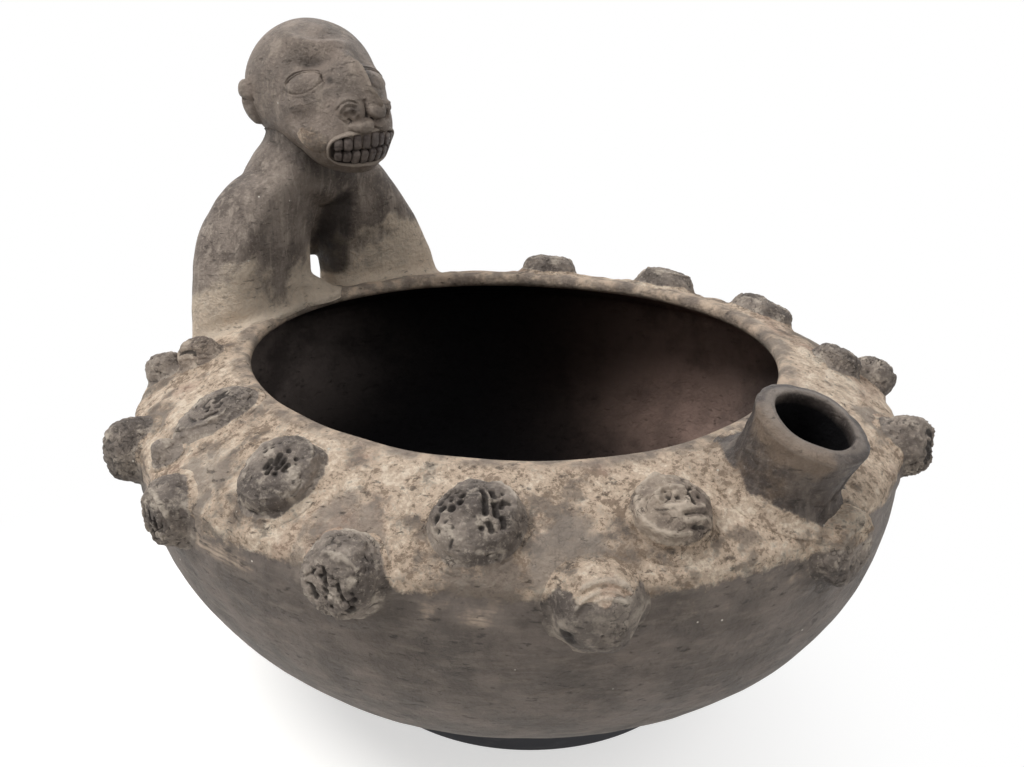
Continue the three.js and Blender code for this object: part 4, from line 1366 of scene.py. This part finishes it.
# Crumbs of cream on tan and brown, then rose patches and grey smudges of two sizes
def paleTone(s):
    broad, crumb = s.noise(34, 5, 0.62), s.noise(430, 4, 0.75, at=2.0)
    grain = s.noise(120, 6, 0.7, at=1.0)
    tone = broad * 0.24 + grain * 0.38 + crumb * 0.38
    colour = s.mix(s.step(tone, 0.445, 0.495), paleClay["brown"], paleClay["tan"])
    colour = s.mix(s.step(tone, 0.505, 0.565), colour, paleClay["cream"])
    colour = s.mix(s.patches(0.54, 0.66, 24, 4, 0.6, at=7.0) * 0.5, colour, paleClay["rose"])
    wipe = s.noise(75, 5, 0.65, vector=s.stretched((1, 1, 2.4)), at=15.0)
    smudge = s.noise(23, 5, 0.6, at=3.0) + (grain + crumb + wipe) * 0.24 - 0.36
    colour = s.mix(s.step(smudge, 0.53, 0.64) * 0.8, colour, paleClay["grey"])
    smallSmudge = s.noise(60, 4, 0.6, at=11.0) + (crumb + wipe) * 0.3 - 0.3
    return s.mix(s.step(smallSmudge, 0.55, 0.66) * 0.7, colour, paleClay["grey"])


# Dark and middle patches with lighter and darker streaks and light crumbs
def darkTone(s, tone):
    streaks = s.noise(tone["scale"], 4, 0.6, vector=s.stretched(tone["stretch"]))
    colour = s.mix(s.patches(0.38, 0.62, 48, 5, 0.62, at=4.0), tone["dark"], tone["middle"])
    colour = s.mix(s.step(streaks, 0.50, 0.66) * tone["streaks"], colour, tone["light"])
    colour = s.mix(s.step(1 - streaks, 0.53, 0.68) * tone["streaks"], colour, tone["dark"])
    crumbs = s.patches(0.52, 0.68, 520, 3, 0.75, at=2.0) * tone["crumbs"]
    return s.mix(crumbs, colour, tone["light"]), streaks


# A dark tone, its pale slip where "shoulder" is painted, the marks that every clay piece has, and painted
# highlights and painted shade
def clayMaterial(name):
    s = newSurface(name + "Clay")
    tone = tones[name]
    colour, streaks = darkTone(s, tone)
    edge = s.noise(70, 6, 0.68, at=9.0) * 1.5 - 0.75
    soft = 0.12 if name == "figure" else 0.0
    bare = s.step(s.attribute("shoulder") + edge, 0.42 - soft, 0.62 + soft)
    if name == "belly":
        colour, bare = bowlTones(s, colour, edge)
    else:
        # the figure's slip is mixed towards cream: partly its colour, partly painted light for its shaded
        # side faces
        pale = s.mix(0.75 if name == "figure" else 0.0, paleTone(s), paleClay["cream"])
        colour = s.mix(bare, colour, pale)
    # warm brown where it is painted, partly painted light on the spout's left side
    warm = s.step(s.attribute("warm") + edge, 0.45, 0.85) * 0.55
    colour = s.mix(warm, colour, paleClay["brown"])
    # a painted highlight on raised parts, then the cut colour, which darkens real cuts and cracks and is
    # also painted shade in recesses and under things
    colour = s.mix(s.step(s.attribute("raised"), 0.1, 0.9) * 0.55, colour, tone["light"])
    colour = s.mix(s.step(s.attribute("cut"), 0.1, 0.8) * 0.8, colour, details["cut"])
    torn = tornMarks(s, 150, 0.60, 12.0)
    cracks = hairCracks(s, 130, 0.012, 14.0)
    pits = s.maths("MAXIMUM", torn * tone["torn"], cracks * tone["cracks"])
    colour = s.mix(pits, colour, details["pit"])
    colour = s.mix(s.attribute("inside"), colour, sootTone(s))
    specks = (1 - s.step(s.cells(95, out="Distance"), 0.03, 0.055)) * (1 - s.attribute("inside"))
    colour = s.mix(specks * s.patches(0.50, 0.56, 30, 1, at=2.5), colour, details["speck"])
    roughness = s.noise(60, 3, at=6.5) * 0.2 + (tone["rough"] - 0.1) + bare * 0.16
    crumb = s.noise(380, 6, 0.72) * (0.0025 * (bare * 0.6 + 0.4 + tone["crumbs"]))
    relief = s.noise(110, 4, 0.6) * 0.0024 + crumb + streaks * (tone["streaks"] * 0.0017)
    relief = relief - torn * 0.0006 - cracks * (tone["cracks"] * 0.0009)
    clay = {"Base Color": colour, "Roughness": roughness, "Normal": s.bump(relief),
            "Specular IOR Level": 0.4}
    outside = s.node("BsdfPrincipled", None, clay)
    dull = {"Roughness": roughness * 0.3 + 0.6, "Specular IOR Level": 0.12}
    sooty = s.node("BsdfPrincipled", None, {**clay, **dull})
    return s.finish(s.node("MixShader", None, {0: s.attribute("inside"), 1: outside, 2: sooty}))


# The black inside, with painted light in brown on the far inside wall and grey ash where they are painted
def sootTone(s):
    grain = s.noise(90, 5, 0.7, at=8.5)
    patch = s.step(s.noise(13, 5, 0.6, at=8.0) * 0.8 + grain * 0.2, 0.40, 0.58) * 0.55 + 0.45
    colour = s.mix(patch * s.attribute("brown"), soot["black"], soot["brown"])
    greyPatch = s.step(s.noise(22, 5, 0.65, at=5.5) * 0.8 + grain * 0.2, 0.40, 0.58) * 0.6 + 0.4
    return s.mix(greyPatch * s.attribute("ash"), colour, soot["ash"])


# The bowl's own layers: dark belly, pale shoulder, smears round the bosses and the darker lip
def bowlTones(s, belly, edge):
    height = s.node("SeparateXYZ", None, {"Vector": s.place()}, "Z")
    drag = s.noise(90, 4, 0.6, vector=s.stretched((1, 1, 7)), at=4.0)
    belly = s.mix(s.step(drag, 0.54, 0.68) * 0.22, belly, tones["belly"]["light"])
    # greyer towards the bottom of the belly
    belly = s.mix((1 - s.step(height, 0.01, 0.07)) * 0.35, belly, details["bottomGrey"])
    band = s.step(height, 0.121, 0.127) * (1 - s.step(height, 0.132, 0.140))
    band = band * s.patches(0.50, 0.62, 22, 5, 0.65, at=13.0)
    belly = s.mix(band * (s.step(drag, 0.42, 0.58) * 0.45 + 0.25), belly, paleClay["tan"])
    bare = s.step(s.attribute("shoulder") + edge * 0.75, 0.42, 0.60)
    smeared = s.step(s.attribute("dark") * 0.55 + edge * 0.7, 0.32, 0.55) * 0.75
    colour = s.mix(bare, belly, paleTone(s))
    colour = s.mix(smeared, colour, tones["boss"]["middle"])
    burnt = s.step(s.attribute("tubeFoot") + edge * 0.5, 0.4, 0.65) * 0.85
    colour = s.mix(burnt, colour, tones["spout"]["middle"])
    lip = s.mix(s.patches(0.42, 0.62, 90, 4, 0.6, at=6.0), details["lip"], paleClay["tan"])
    return s.mix(s.attribute("lip") * 0.8, colour, lip), bare


def ringMaterial():
    s = newSurface("ringFinish")
    worn = s.patches(0.45, 0.7, 60, 4, 0.6, vector=s.stretched((1, 1, 4)))
    colour = s.mix(worn, "#34343a", "#4b4a4e")
    relief = s.noise(240, 3) * 0.00012 + s.noise(1200, 2) * 0.00002
    shader = s.node("BsdfPrincipled", None, {"Base Color": colour, "Roughness": worn * 0.12 + 0.38,
                                             "Normal": s.bump(relief), "Specular IOR Level": 0.45})
    return s.finish(shader)


# Camera at the photograph's angle
view = {"at": (0.36588, -0.41728, 0.37394), "turn": (67.83, 0, 41.65), "lens": 43.19, "sensor": 36}
bpy.ops.object.camera_add(location=view["at"], rotation=[math.radians(a) for a in view["turn"]])
camera = bpy.context.object
camera.data.lens = view["lens"]
camera.data.sensor_width = view["sensor"]
bpy.context.scene.camera = camera
print("camera set")

finishes = {name: clayMaterial(name) for name in tones}
print("clay finishes made")

finishPiece(makeBowl(), finishes["belly"], "bowl_clay", "bowl_body")
print("bowl shaped")

for number, boss in enumerate(bosses):
    finish = "pale" if boss["name"] in bossMaking["pale"] else "boss"
    finishPiece(makeBoss(boss, number), finishes[finish], "boss_clay", boss["name"])
print("bosses pressed on")

finishPiece(makeSpout(), finishes["spout"], "spout_clay", "spout")
print("spout luted on")

finishPiece(makeFigure(), finishes["figure"], "figure_clay", "bust", "right_arm", "left_arm")
finishPiece(makeHead(), finishes["head"], "figure_clay", "head")
for name, place in facePieces.items():
    finishPiece(makeFacePiece(name, place), finishes["head"], "figure_clay", name)
finishPiece(makeLips(), finishes["head"], "figure_clay", "lips")
for name, side in (("upper_teeth", 1), ("lower_teeth", -1)):
    finishPiece(makeTeeth(name, side), finishes["teeth"], "teeth_clay", name)
print("figure modelled")

finishPiece(makeRing(), ringMaterial(), "stand", "stand_ring")
print("ring turned")


# Studio: a pale floor that goes to white away from the shadow, white surroundings, a soft key lamp
# and two weaker ones. Each lamp is its place, size and power.
studio = {
    "floor": "#d9d7d3",
    "floorSize": 16,
    "shadowAt": (-0.03, -0.10),
    "glow": 0.58,
    "goesWhite": (0.10, 0.30),
    "ambient": 0.32,
    "aim": (0, 0, 0.12),
    "lamps": [((-0.55, -1.05, 2.0), 1.0, 37.5), ((1.6, 0.2, 1.4), 1.2, 7), ((-0.9, 1.3, 1.6), 1.4, 9)],
}


def floorMaterial():
    s = newSurface("paperFloor")
    x, y = studio["shadowAt"]
    fromShadow = s.node("Mapping", None, {"Vector": s.place(), "Location": (-x, -y, 0)})
    away = s.node("VectorMath", {"operation": "LENGTH"}, {0: fromShadow}, "Value")
    paper = s.node("BsdfDiffuse", None, {"Color": studio["floor"]})
    glow = s.node("Emission", None, {"Color": "#ffffff", "Strength": studio["glow"]})
    lit = s.node("AddShader", None, {0: paper, 1: glow})
    white = s.node("Emission", None, {"Color": "#ffffff", "Strength": 1.0})
    seen = s.node("MixShader", None, {0: s.step(away, *studio["goesWhite"]), 1: lit, 2: white})
    return s.finish(s.node("MixShader", None, {0: s.lookedAt(), 1: paper, 2: seen}))


clearSelection()
bpy.ops.mesh.primitive_plane_add(size=studio["floorSize"], location=(0, 0, 0))
floor = startPiece("paper_floor")
floor.data.materials.append(floorMaterial())

for at, size, power in studio["lamps"]:
    bpy.ops.object.light_add(type="AREA", location=at)
    lamp = bpy.context.object
    lamp.data.size = size
    lamp.data.energy = power
    lamp.rotation_euler = (Vector(studio["aim"]) - Vector(at)).to_track_quat("-Z", "Y").to_euler()

world = bpy.data.worlds.new("studio")
bpy.context.scene.world = world
air = Surface(world)
dim = air.node("Background", None, {"Color": "#ffffff", "Strength": studio["ambient"]})
bright = air.node("Background", None, {"Color": "#ffffff", "Strength": 1.0})
air.finish(air.node("MixShader", None, {0: air.lookedAt(), 1: dim, 2: bright}), "OutputWorld")
bpy.context.scene.view_settings.view_transform = "Standard"
print("studio lit")
